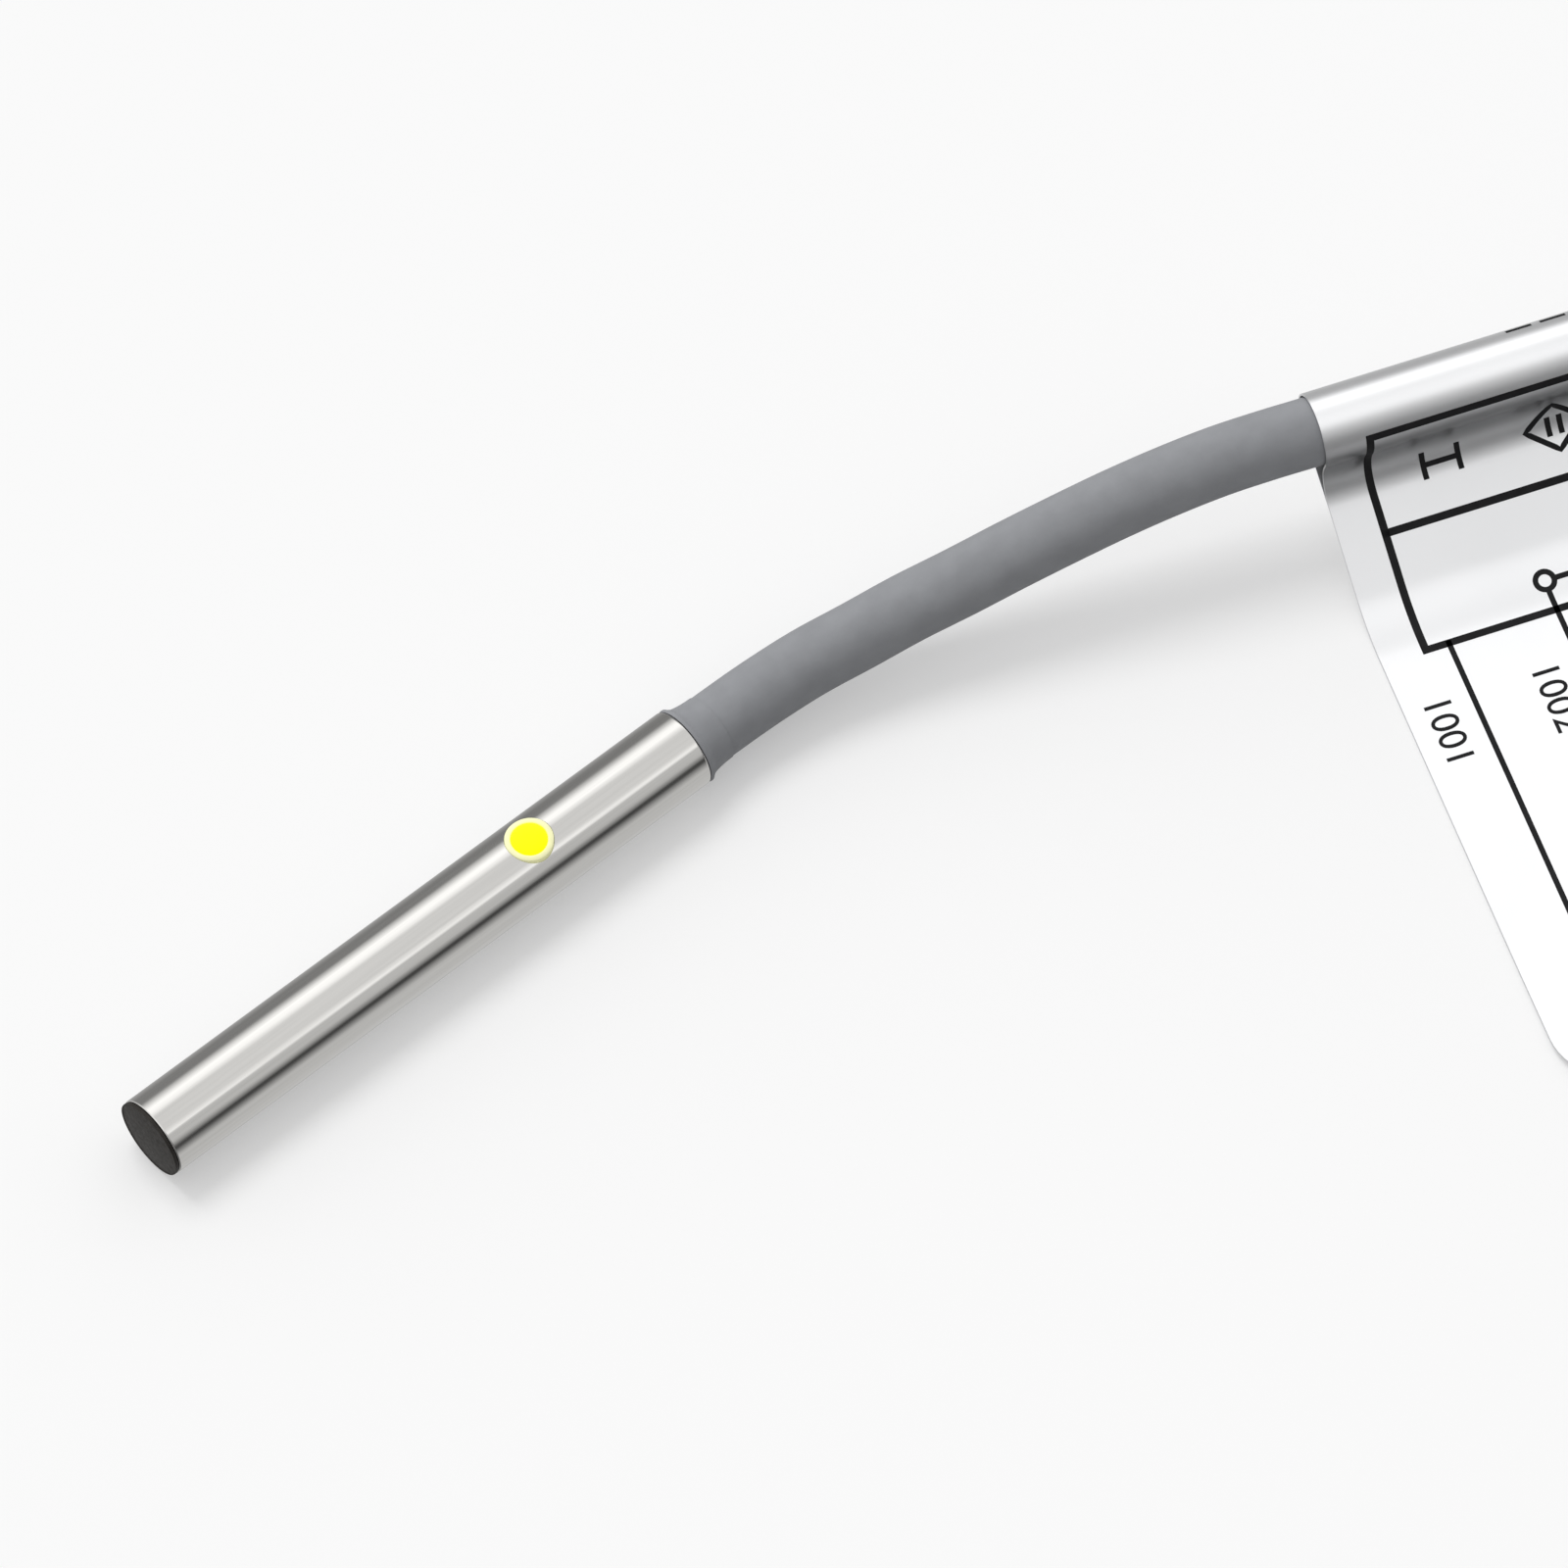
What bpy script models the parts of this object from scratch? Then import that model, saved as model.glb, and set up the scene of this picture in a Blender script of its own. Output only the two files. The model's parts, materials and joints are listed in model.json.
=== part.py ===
"""Slim inductive proximity sensor: a smooth steel barrel with a black sensing cap at its front,
an indicator window on top, and a grey cable that leaves the rear through a tapered seal.

The barrel lies along X with its face towards -X. The floor is z = 0, and the origin is on it,
under the middle of the barrel and seal. The cable arches over to a folded flag label, comes down
to a neat coil held by a twist tie, and ends in three loose leads."""

import math

import bmesh
import bpy
from mathutils import Matrix, Vector

MM = 0.001
TAU = 2 * math.pi
MERGE = 1e-7
ROUTE_STEP = 0.3 * MM

# Fits and gaps
FIT = 0.03 * MM  # radial play of a piece that slides into another
FACE_GAP = 0.03 * MM  # between faces that meet
SOLDER_GAP = 0.02 * MM  # under a component on the board
FLOOR_GAP = 0.05 * MM  # under what lies on the floor, the barrel apart
CUT_MARGIN = 1.0 * MM  # how far a cutter runs past what it cuts

# Cable and its conductors
JACKET_DIAMETER = 3.3 * MM
JACKET_FIT = 0.05 * MM
JACKET_INSERT = 2.5 * MM  # length of jacket inside the barrel
CONDUCTOR_DIAMETER = 0.8 * MM
CONDUCTOR_GAP = 0.1 * MM
STRAND_DIAMETER = 0.36 * MM

# Barrel and rear seal
BODY_LENGTH = 32.0 * MM  # sensing face to the barrel's rear end
BARREL_WALL = 0.3 * MM
BARREL_EDGE = 0.08 * MM
SEAL_LENGTH = 1.6 * MM
SEAL_LIP = 0.1 * MM
SEAL_BAND = 0.2 * MM  # straight stretch before the taper

# Sensing cap
FLANGE_THICKNESS = 0.22 * MM
FLANGE_SETBACK = 0.03 * MM
FACE_THICKNESS = 0.45 * MM
CAP_DEPTH = 3.2 * MM
CAP_WALL = 0.25 * MM
CAP_EDGE = 0.07 * MM

# Ferrite pot core, bobbin and winding
CORE_LENGTH = 1.7 * MM
CORE_BACK = 0.5 * MM
CORE_RIM = 0.22 * MM
POST_DIAMETER = 1.1 * MM
BOBBIN_WALL = 0.08 * MM
WINDING_RELIEF = 0.05 * MM  # winding's surface below the bobbin's flanges
TURNS_SHOWN = 6
LEAD_DIAMETER = 0.14 * MM
LEAD_HOLE_PLAY = 0.06 * MM

# Circuit board
BOARD_THICKNESS = 0.4 * MM
BOARD_GAP = 0.1 * MM
PAD_FROM_EDGE = 0.9 * MM
POTTING_LENGTH = 1.5 * MM
WIRE_OVERLAP = 1.2 * MM  # insulated wire over the board
TIP_LENGTH = 0.9 * MM

# Components: length along the board, width and height
COMPONENT_EDGE = 0.04 * MM
OSCILLATOR = (2.4 * MM, 1.9 * MM, 0.7 * MM)
TUNING_CAPACITOR = (1.0 * MM, 0.8 * MM, 0.5 * MM)
SMALL_CAPACITOR = (1.0 * MM, 0.5 * MM, 0.5 * MM)
LARGE_CAPACITOR = (1.6 * MM, 0.8 * MM, 0.7 * MM)
RESISTOR = (1.0 * MM, 0.5 * MM, 0.35 * MM)
REGULATOR = (2.0 * MM, 1.3 * MM, 0.8 * MM)
TRANSISTOR = (2.6 * MM, 1.5 * MM, 0.8 * MM)
DIODE = (1.7 * MM, 1.2 * MM, 0.7 * MM)
END_LENGTH = 0.22 * MM  # metal end of a resistor or capacitor
END_PROUD = 0.02 * MM
LEG_WIDTH = 0.3 * MM
LEG_SHEET = 0.11 * MM
LEG_REACH = 0.4 * MM  # foot's tip beyond the side of the chip
LEG_OUT = 0.08 * MM  # shank beyond the side of the chip
LEG_RISE = 0.28 * MM
LEG_SINK = 0.1 * MM  # leg inside the chip
OSCILLATOR_PITCH = 0.65 * MM
TRIO_PITCH = 0.95 * MM  # legs of a regulator or transistor

# Places of the components along the board
TUNING_FROM_FRONT = 1.9 * MM
OSCILLATOR_FROM_FRONT = 4.0 * MM
SUPPORT_FROM_FRONT = 6.4 * MM
SUPPORT_SPREAD = 0.55 * MM
BIAS_FROM_FRONT = 8.2 * MM
SUPPLY_FROM_FRONT = 6.6 * MM
LED_RESISTOR_GAP = 0.5 * MM  # between the light and its resistor
TRANSISTOR_FROM_REAR = 8.5 * MM
DIODE_FROM_REAR = 5.2 * MM

# Indicator
LED_FROM_REAR = 9.3 * MM
LED_CHIP = (1.0 * MM, 0.6 * MM, 0.5 * MM)
WINDOW_DIAMETER = 1.72 * MM
RING_WALL = 0.26 * MM
RING_DEPTH = 0.9 * MM

# Flag label
LABEL_START = (31.65 * MM, -7.9 * MM, 4.3 * MM)  # from the cable's exit
LABEL_COURSE = (8.0, -3.0)  # direction of the cable inside the label
LABEL_WIDTH = 25.0 * MM
LABEL_REACH = 34.0 * MM
LABEL_FILM = 0.1 * MM
LABEL_FIT = 0.08 * MM
LABEL_CORNER = 3.0 * MM
LABEL_LEAVES = math.radians(-35)  # where the upper film leaves the cable, from level
LABEL_CREASE = 1.2 * MM  # radius in which it turns outwards below the cable
LABEL_CREASE_STEPS = 7
LABEL_SLOPE = math.radians(30)  # how steeply the flag comes down
LABEL_LANDING = 6.0 * MM  # radius in which it flattens out on the floor
LABEL_LANDING_STEPS = 4

# Coil, twist tie and loose ends
COIL_MEAN_DIAMETER = 39.6 * MM
COIL_LAYERS = 4
COIL_COLUMNS = 4
RING_GAP = 0.25 * MM  # between the coil and the stretches beside it
TIE_THICKNESS = 0.4 * MM
TIE_WIDTH = 4.0 * MM
TIE_FIT = 0.1 * MM
TIE_BEARING = math.radians(190)
TIE_STEM = 12.0 * MM
TIE_STEM_WIDTH = 2.0 * MM
TIE_STEM_THICKNESS = 0.9 * MM
TIE_STEM_SINK = 0.2 * MM  # how far the twisted ends grow out of the loop
TIE_STEM_CUTS = 20
TIE_TWIST = math.radians(450)
LEAD_BARE = 5.0 * MM

# Cable from the barrel's rear end to the coil: x, y and height from the axis of the barrel there
RUN_ROUTE = [
    (0.0, 0.0, 0.0), (2.2, 0.0, 0.0), (4.6, -0.1, 0.1), (7.2, -0.4, 0.35), (9.75, -0.95, 0.7),
    (12.3, -1.55, 1.2), (14.85, -2.3, 1.75), (17.4, -3.0, 2.3), (19.95, -3.75, 2.85),
    (22.5, -4.55, 3.4), (24.95, -5.35, 3.8), (27.35, -6.2, 4.1), (29.65, -7.1, 4.25),
    (31.65, -7.9, 4.3), (37.25, -10.0, 4.3), (42.85, -12.1, 4.3), (48.45, -14.2, 4.3),
    (54.05, -16.3, 4.3), (59.65, -18.4, 3.9), (65.25, -20.5, 2.75), (70.85, -22.6, 1.45),
    (76.45, -24.7, 0.5), (82.05, -26.8, 0.2),
]
# Last stretch: angle about the coil from where it leaves the top turn, distance beyond the outer
# turn, and height above the floor, then three leads that fan out from its end
TAIL_ROUTE = [
    (0, 0.0, 12.1), (-8, 0.5, 12.0), (-17, 1.8, 11.2), (-26, 3.3, 9.6), (-35, 4.2, 7.4),
    (-44, 4.5, 5.0), (-53, 4.5, 3.0), (-61, 4.6, 1.9), (-69, 5.0, 1.7), (-76, 5.6, 1.7),
]
TAIL_LEAVES = math.radians(-2.5)
LEAD_ROUTES = {
    "lead_brown": [(0.0, 0.55, 1.4), (3.0, 0.9, 0.9), (7.0, 2.4, 0.5), (13.0, 5.6, 0.45),
                   (20.0, 9.4, 0.45), (26.0, 12.0, 0.45), (31.0, 13.6, 0.45)],
    "lead_black": [(0.0, 0.0, 0.55), (4.0, 0.1, 0.45), (10.0, 0.4, 0.45), (16.0, 1.4, 0.45),
                   (22.0, 3.0, 0.45), (27.0, 4.7, 0.45), (32.0, 6.4, 0.45)],
    "lead_blue": [(0.0, -0.55, 1.4), (3.0, -1.0, 0.9), (7.0, -2.2, 0.5), (13.0, -3.8, 0.45),
                  (20.0, -4.6, 0.45), (26.0, -4.4, 0.45), (31.0, -3.6, 0.45)],
}

# Sizes that follow from the ones above
BORE_RADIUS = JACKET_DIAMETER / 2 + JACKET_FIT
BARREL_RADIUS = BORE_RADIUS + BARREL_WALL
SEAL_START = BODY_LENGTH + FACE_GAP
OBJECT_LENGTH = SEAL_START + SEAL_LENGTH
CAP_RADIUS = BORE_RADIUS - FIT
CAP_INNER = CAP_RADIUS - CAP_WALL
CORE_FRONT = FACE_THICKNESS + FACE_GAP
CORE_RADIUS = CAP_INNER - FIT
CORE_REAR = CORE_FRONT + CORE_LENGTH
GROOVE_OUTER = CORE_RADIUS - CORE_RIM
GROOVE_REAR = CORE_REAR - CORE_BACK
BOBBIN_INNER = POST_DIAMETER / 2 + FIT
BOBBIN_OUTER = GROOVE_OUTER - FIT
BOBBIN_REAR = GROOVE_REAR - FACE_GAP
WINDING_INNER = BOBBIN_INNER + BOBBIN_WALL + FIT
WINDING_OUTER = BOBBIN_OUTER - WINDING_RELIEF
WINDING_FRONT = CORE_FRONT + BOBBIN_WALL + FACE_GAP
WINDING_REAR = BOBBIN_REAR - BOBBIN_WALL - FACE_GAP
LEAD_OFFSET = (WINDING_INNER + WINDING_OUTER) / 2
BOARD_TOP = BOARD_THICKNESS / 2
BOARD_FRONT = CAP_DEPTH + BOARD_GAP
JACKET_START = BODY_LENGTH - JACKET_INSERT
POTTING_REAR = JACKET_START - FACE_GAP
POTTING_FRONT = POTTING_REAR - POTTING_LENGTH
BOARD_REAR = POTTING_FRONT - BOARD_GAP
BOARD_HALF_WIDTH = math.sqrt((BORE_RADIUS - FIT) ** 2 - BOARD_TOP**2)
CONDUCTOR_HEIGHT = BOARD_TOP + SOLDER_GAP + CONDUCTOR_DIAMETER / 2
CONDUCTOR_SPREAD = (CONDUCTOR_DIAMETER + CONDUCTOR_GAP) / 2
LED_PLACE = BODY_LENGTH - LED_FROM_REAR
LED_TOP = BOARD_TOP + SOLDER_GAP + LED_CHIP[2]
WINDOW_RADIUS = WINDOW_DIAMETER / 2
RING_INNER = WINDOW_RADIUS + FIT
RING_OUTER = RING_INNER + RING_WALL
HOLE_RADIUS = RING_OUTER + FIT
LABEL_INNER = JACKET_DIAMETER / 2 + LABEL_FIT
LABEL_OUTER = LABEL_INNER + LABEL_FILM
COIL_BASE = FLOOR_GAP + TIE_THICKNESS + TIE_FIT
COIL_HEIGHT = COIL_LAYERS * JACKET_DIAMETER
COIL_HALF_WIDTH = COIL_COLUMNS * JACKET_DIAMETER / 2
COIL_INNER = COIL_MEAN_DIAMETER / 2 - COIL_HALF_WIDTH
COIL_OUTER = COIL_MEAN_DIAMETER / 2 + COIL_HALF_WIDTH
OUTER_TURN = COIL_OUTER - JACKET_DIAMETER / 2


def start_scene():
    """Removes what the file holds and makes the two collections."""
    for item in list(bpy.data.objects):
        bpy.data.objects.remove(item)
    made = []
    for name in ("inductive_proximity_sensor", "cutters"):
        collection = bpy.data.collections.new(name)
        bpy.context.scene.collection.children.link(collection)
        made.append(collection)
    return made


PARTS, CUTTERS = start_scene()


def frame_empty(name, location, heading=0.0):
    """An empty that carries pieces placed in their own frame."""
    empty = bpy.data.objects.new(name, None)
    empty.location = location
    empty.rotation_euler = (0, 0, heading)
    PARTS.objects.link(empty)
    return empty


SENSOR = frame_empty("sensor_axis", (-OBJECT_LENGTH / 2, 0, BARREL_RADIUS))
EXIT = frame_empty("cable_exit", (BODY_LENGTH - OBJECT_LENGTH / 2, 0, BARREL_RADIUS))


def finish(name, colour, roughness, metallic=0.0):
    """A Principled material with the piece's own colour."""
    material = bpy.data.materials.new(name)
    material.use_nodes = True
    shader = material.node_tree.nodes["Principled BSDF"]
    shader.inputs["Base Color"].default_value = (*colour, 1)
    shader.inputs["Roughness"].default_value = roughness
    shader.inputs["Metallic"].default_value = metallic
    material.diffuse_color = (*colour, 1)
    return material


def place(piece, parent, look=None):
    """Puts a piece, or a cutter if it has no look, in its collection and frame."""
    piece.parent = parent
    if look:
        PARTS.objects.link(piece)
        piece.data.materials.clear()
        piece.data.materials.append(finish(piece.name, *look))
    else:
        CUTTERS.objects.link(piece)
        piece.hide_render = True
        piece.display_type = "WIRE"
    return piece


def mesh_object(name, build):
    """A mesh object whose bmesh is filled by build."""
    mesh = bpy.data.meshes.new(name)
    shape = bmesh.new()
    build(shape)
    shape.to_mesh(mesh)
    shape.free()
    return bpy.data.objects.new(name, mesh)


def turned(name, profile, parent=SENSOR, look=None, steps=48, closed=True):
    """A turned piece. The profile is (along, radius) pairs, down its outer side."""

    def outline(shape):
        points = [shape.verts.new((radius, 0, along)) for along, radius in profile]
        pairs = list(zip(points, points[1:]))
        if closed:
            pairs.append((points[-1], points[0]))
        for pair in pairs:
            shape.edges.new(pair)

    piece = mesh_object(name, outline)
    screw = piece.modifiers.new("turn", "SCREW")
    screw.axis = "Z"
    screw.angle = TAU
    screw.steps = screw.render_steps = steps
    screw.use_merge_vertices = True
    screw.merge_threshold = MERGE
    screw.use_smooth_shade = True
    piece.rotation_euler = (0, math.pi / 2, 0)
    return place(piece, parent, look)


def cylinder(name, radius, low, high, parent, place_at, axis="Z", look=None, sides=48):
    """A straight round bar from low to high along an axis of its frame."""

    def bar(shape):
        bmesh.ops.create_cone(shape, cap_ends=True, segments=sides, radius1=radius,
                              radius2=radius, depth=high - low)

    piece = mesh_object(name, bar)
    middle = Vector(place_at)
    middle["XYZ".index(axis)] += (low + high) / 2
    piece.location = middle
    piece.rotation_euler = {"X": (0, math.pi / 2, 0), "Y": (math.pi / 2, 0, 0), "Z": (0, 0, 0)}[axis]
    return place(piece, parent, look)


def block(name, size, centre, look=None, parent=SENSOR, edge=COMPONENT_EDGE):
    """A box with rounded edges, or a plain one as a cutter."""

    def box(shape):
        bmesh.ops.create_cube(shape, size=1, matrix=Matrix.Diagonal((*size, 1)))

    piece = mesh_object(name, box)
    piece.location = centre
    if edge:
        bevel = piece.modifiers.new("edges", "BEVEL")
        bevel.width = edge
        bevel.segments = 1
    return place(piece, parent, look)


def smooth_route(points, spacing):
    """Points along a Catmull-Rom curve through the given points, about a spacing apart."""
    points = [Vector(point) for point in points]
    ends = [2 * points[0] - points[1], *points, 2 * points[-1] - points[-2]]
    route = []
    for before, start, end, after in zip(ends, ends[1:], ends[2:], ends[3:]):
        steps = max(1, round((end - start).length / spacing))
        for step in range(steps):
            t = step / steps
            route.append(0.5 * (2 * start + (end - before) * t
                                + (2 * before - 5 * start + 4 * end - after) * t**2
                                + (3 * start - before - 3 * end + after) * t**3))
    return route + [points[-1]]


def outside_ring(route, middle, radius):
    """The stretch of a finely stepped route that keeps a radius from a middle, with a point
    about every two cable diameters."""
    kept = [point for point in route if (point.xy - middle).length > radius]
    stride = round(2 * JACKET_DIAMETER / ROUTE_STEP)
    count = max(1, round((len(kept) - 1) / stride))
    return [kept[round(number * (len(kept) - 1) / count)] for number in range(count + 1)]


def tube(name, points, diameter, parent, look, resolution=2, thin=None, thin_from=None):
    """A round wire or cable. From point thin_from on, its diameter is thin."""
    curve = bpy.data.curves.new(name, "CURVE")
    curve.dimensions = "3D"
    curve.bevel_depth = diameter / 2
    curve.bevel_resolution = resolution
    curve.use_fill_caps = True
    spline = curve.splines.new("POLY")
    spline.points.add(len(points) - 1)
    for number, (knot, point) in enumerate(zip(spline.points, points)):
        knot.co = (*point, 1)
        if thin_from is not None and number >= thin_from:
            knot.radius = thin / diameter
    return place(bpy.data.objects.new(name, curve), parent, look)


def as_mesh(source, name):
    """A curve object made a mesh object, with its caps welded on."""
    bpy.context.view_layer.update()
    evaluated = source.evaluated_get(bpy.context.evaluated_depsgraph_get())
    mesh = bpy.data.meshes.new_from_object(evaluated)
    shape = bmesh.new()
    shape.from_mesh(mesh)
    bmesh.ops.remove_doubles(shape, verts=shape.verts, dist=MERGE)
    bmesh.ops.recalc_face_normals(shape, faces=shape.faces)
    shape.to_mesh(mesh)
    shape.free()
    piece = bpy.data.objects.new(name, mesh)
    piece.matrix_world = source.matrix_world
    bpy.data.objects.remove(source)
    return piece


def flat_outline(name, outlines, thickness):
    """A flat piece of a given thickness between closed outlines in its own XY plane."""
    curve = bpy.data.curves.new(name, "CURVE")
    curve.dimensions = "2D"
    curve.fill_mode = "BOTH"
    curve.extrude = thickness / 2
    for outline in outlines:
        spline = curve.splines.new("POLY")
        spline.points.add(len(outline) - 1)
        for knot, (x, y) in zip(spline.points, outline):
            knot.co = (x, y, 0, 1)
        spline.use_cyclic_u = True
    source = bpy.data.objects.new(name + "_outline", curve)
    PARTS.objects.link(source)
    return as_mesh(source, name)


def combine(piece, other, operation):
    """A Boolean of two pieces, exact."""
    step = piece.modifiers.new(operation.lower(), "BOOLEAN")
    step.operation = operation
    step.object = other
    step.solver = "EXACT"


def arc(centre, radius, start, end, steps):
    """Points on an arc, both ends included."""
    angles = [start + (end - start) * step / steps for step in range(steps + 1)]
    return [(centre[0] + radius * math.cos(a), centre[1] + radius * math.sin(a)) for a in angles]


# Colours and surfaces: colour, roughness, metallic
STEEL = ((0.70, 0.69, 0.67), 0.22, 1.0)
BLACK_PLASTIC = ((0.03, 0.03, 0.03), 0.5)
FERRITE = ((0.10, 0.10, 0.11), 0.6)
COPPER = ((0.80, 0.42, 0.24), 0.35, 1.0)
NATURAL_PLASTIC = ((0.80, 0.76, 0.66), 0.5)
BOARD_GREEN = ((0.03, 0.20, 0.08), 0.45)
CHIP_BLACK = ((0.04, 0.04, 0.045), 0.45)
CERAMIC = ((0.48, 0.36, 0.25), 0.5)
AMBER = ((0.95, 0.85, 0.05), 0.25)
PALE_LENS = ((0.90, 0.88, 0.70), 0.3)
RESIN = ((0.12, 0.12, 0.12), 0.35)
GREY_VINYL = ((0.24, 0.25, 0.26), 0.6)
BROWN_VINYL = ((0.20, 0.09, 0.04), 0.5)
BLACK_VINYL = ((0.02, 0.02, 0.02), 0.5)
BLUE_VINYL = ((0.03, 0.12, 0.45), 0.5)
SILVER_FILM = ((0.78, 0.79, 0.80), 0.25, 0.6)


def sensing_cap():
    """Black cup in the barrel's mouth, its flange over the end of the tube."""
    flange = BARREL_RADIUS - FLANGE_SETBACK
    turned("sensing_cap", [
        (FACE_THICKNESS, 0), (FACE_THICKNESS, CAP_INNER), (CAP_DEPTH, CAP_INNER),
        (CAP_DEPTH, CAP_RADIUS), (FLANGE_THICKNESS, CAP_RADIUS), (FLANGE_THICKNESS, flange),
        (CAP_EDGE, flange), (0, flange - CAP_EDGE), (0, 0),
    ], look=BLACK_PLASTIC, closed=False, steps=64)


def barrel():
    """Thin steel tube with the indicator's hole on top."""
    front = FLANGE_THICKNESS + FACE_GAP
    tube_piece = turned("barrel", [
        (BODY_LENGTH, BORE_RADIUS), (BODY_LENGTH, BARREL_RADIUS - BARREL_EDGE),
        (BODY_LENGTH - BARREL_EDGE, BARREL_RADIUS), (front, BARREL_RADIUS), (front, BORE_RADIUS),
    ], look=STEEL, steps=96)
    hole = cylinder("indicator_hole_cutter", HOLE_RADIUS, 0, BARREL_RADIUS + CUT_MARGIN, SENSOR,
                    (LED_PLACE, 0, 0))
    combine(tube_piece, hole, "DIFFERENCE")


def rear_seal():
    """Grey grommet that closes the barrel round the jacket and tapers down to it."""
    bore = JACKET_DIAMETER / 2 + JACKET_FIT
    lip = bore + SEAL_LIP
    taper = SEAL_LENGTH - SEAL_BAND
    steps = 8
    side = []
    for step in range(steps + 1):
        along = 1 - step / steps
        fall = 1 - math.sqrt(1 - (1 - along) ** 2)
        side.append((SEAL_START + SEAL_BAND + taper * along, lip + (BARREL_RADIUS - lip) * fall))
    turned("cable_seal", [(OBJECT_LENGTH, bore), *side, (SEAL_START, BARREL_RADIUS),
                          (SEAL_START, bore)], look=GREY_VINYL, steps=64)


def coil_system():
    """Pot core open to the front, with a wound bobbin on its post and two leads to the board."""
    post = POST_DIAMETER / 2
    core = turned("ferrite_core", [
        (GROOVE_REAR, post), (CORE_FRONT, post), (CORE_FRONT, 0), (CORE_REAR, 0),
        (CORE_REAR, CORE_RADIUS), (CORE_FRONT, CORE_RADIUS), (CORE_FRONT, GROOVE_OUTER),
        (GROOVE_REAR, GROOVE_OUTER),
    ], look=FERRITE, steps=40, closed=True)
    tube_outer = BOBBIN_INNER + BOBBIN_WALL
    bobbin = turned("coil_bobbin", [
        (BOBBIN_REAR, BOBBIN_INNER), (BOBBIN_REAR, BOBBIN_OUTER),
        (BOBBIN_REAR - BOBBIN_WALL, BOBBIN_OUTER), (BOBBIN_REAR - BOBBIN_WALL, tube_outer),
        (CORE_FRONT + BOBBIN_WALL, tube_outer), (CORE_FRONT + BOBBIN_WALL, BOBBIN_OUTER),
        (CORE_FRONT, BOBBIN_OUTER), (CORE_FRONT, BOBBIN_INNER),
    ], look=NATURAL_PLASTIC, steps=32)
    turn_radius = (WINDING_REAR - WINDING_FRONT) / (2 * TURNS_SHOWN)
    ridges = []
    for turn in range(TURNS_SHOWN):
        middle = WINDING_REAR - turn_radius * (2 * turn + 1)
        top = WINDING_OUTER - turn_radius
        ridges += arc((middle, top), turn_radius, 0, math.pi, 3)[(0 if turn == 0 else 1):]
    turned("coil_winding", [(WINDING_REAR, WINDING_INNER), *ridges,
                            (WINDING_FRONT, WINDING_INNER)], look=COPPER, steps=32)
    hole_radius = LEAD_DIAMETER / 2 + LEAD_HOLE_PLAY
    lead_height = BOARD_TOP + SOLDER_GAP + LEAD_DIAMETER / 2
    for letter, side in (("a", 1), ("b", -1)):
        hole = cylinder(f"lead_hole_cutter_{letter}", hole_radius, GROOVE_REAR - BOBBIN_WALL * 2,
                        CORE_REAR + CUT_MARGIN, SENSOR, (0, side * LEAD_OFFSET, 0), axis="X", sides=16)
        combine(core, hole, "DIFFERENCE")
        combine(bobbin, hole, "DIFFERENCE")
        y = side * LEAD_OFFSET
        rise_start = CORE_REAR + LEAD_DIAMETER
        rise_end = BOARD_FRONT - LEAD_DIAMETER
        pad = BOARD_FRONT + PAD_FROM_EDGE
        route = smooth_route([
            (WINDING_REAR + SOLDER_GAP, y, 0), (rise_start, y, 0),
            ((rise_start + rise_end) / 2, y, lead_height / 2 + LEAD_DIAMETER / 2),
            (rise_end, y, lead_height + LEAD_DIAMETER / 2), (pad, y, lead_height),
        ], PAD_FROM_EDGE / 2)
        tube(f"coil_lead_{letter}", route, LEAD_DIAMETER, SENSOR, COPPER)


def seat(name, along, across, under):
    """An empty on one face of the board, its own Z pointing away from the board."""
    lift = BOARD_TOP + SOLDER_GAP
    empty = frame_empty(f"{name}_seat", (along, across, -lift if under else lift))
    empty.rotation_euler = (math.pi if under else 0, 0, 0)
    empty.parent = SENSOR
    return empty


def ended(name, along, size, look, across=0.0, under=False):
    """A resistor or capacitor: a block between two metal ends that stand a little proud."""
    length, width, height = size
    spot = seat(name, along, across, under)
    body_height = height - 2 * END_PROUD
    body = block(name, (length - 2 * END_PROUD, width - 2 * END_PROUD, body_height),
                 (0, 0, height / 2), look=look, parent=spot, edge=0)
    for side in (-1, 1):
        middle = (side * (length - END_LENGTH) / 2, 0, height / 2)
        end = block(f"{name}_end_cutter", (END_LENGTH, width, height), middle, parent=spot,
                    edge=END_PROUD / 2)
        combine(body, end, "UNION")


def legged(name, along, size, look, legs, under=False):
    """A moulded chip with bent legs. Each leg is given by its place along and its side."""
    length, width, height = size
    spot = seat(name, along, 0, under)
    body = block(name, size, (0, 0, height / 2), look=look, parent=spot)
    half, sheet = width / 2, LEG_SHEET
    profile = [
        (half - LEG_SINK, LEG_RISE + sheet), (half + LEG_OUT + sheet, LEG_RISE + sheet),
        (half + LEG_OUT + sheet, sheet), (half + LEG_REACH, sheet), (half + LEG_REACH, 0),
        (half + LEG_OUT, 0), (half + LEG_OUT, LEG_RISE), (half - LEG_SINK, LEG_RISE),
    ]
    across = Matrix(((0, 0, 1), (1, 0, 0), (0, 1, 0))).to_4x4()
    for place_along, side in legs:
        leg = flat_outline(f"{name}_leg_cutter", [profile], LEG_WIDTH)
        face = Matrix.Rotation(0 if side > 0 else math.pi, 4, "Z")
        leg.matrix_world = Matrix.Translation((place_along, 0, 0)) @ face @ across
        place(leg, spot)
        combine(body, leg, "UNION")


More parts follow.
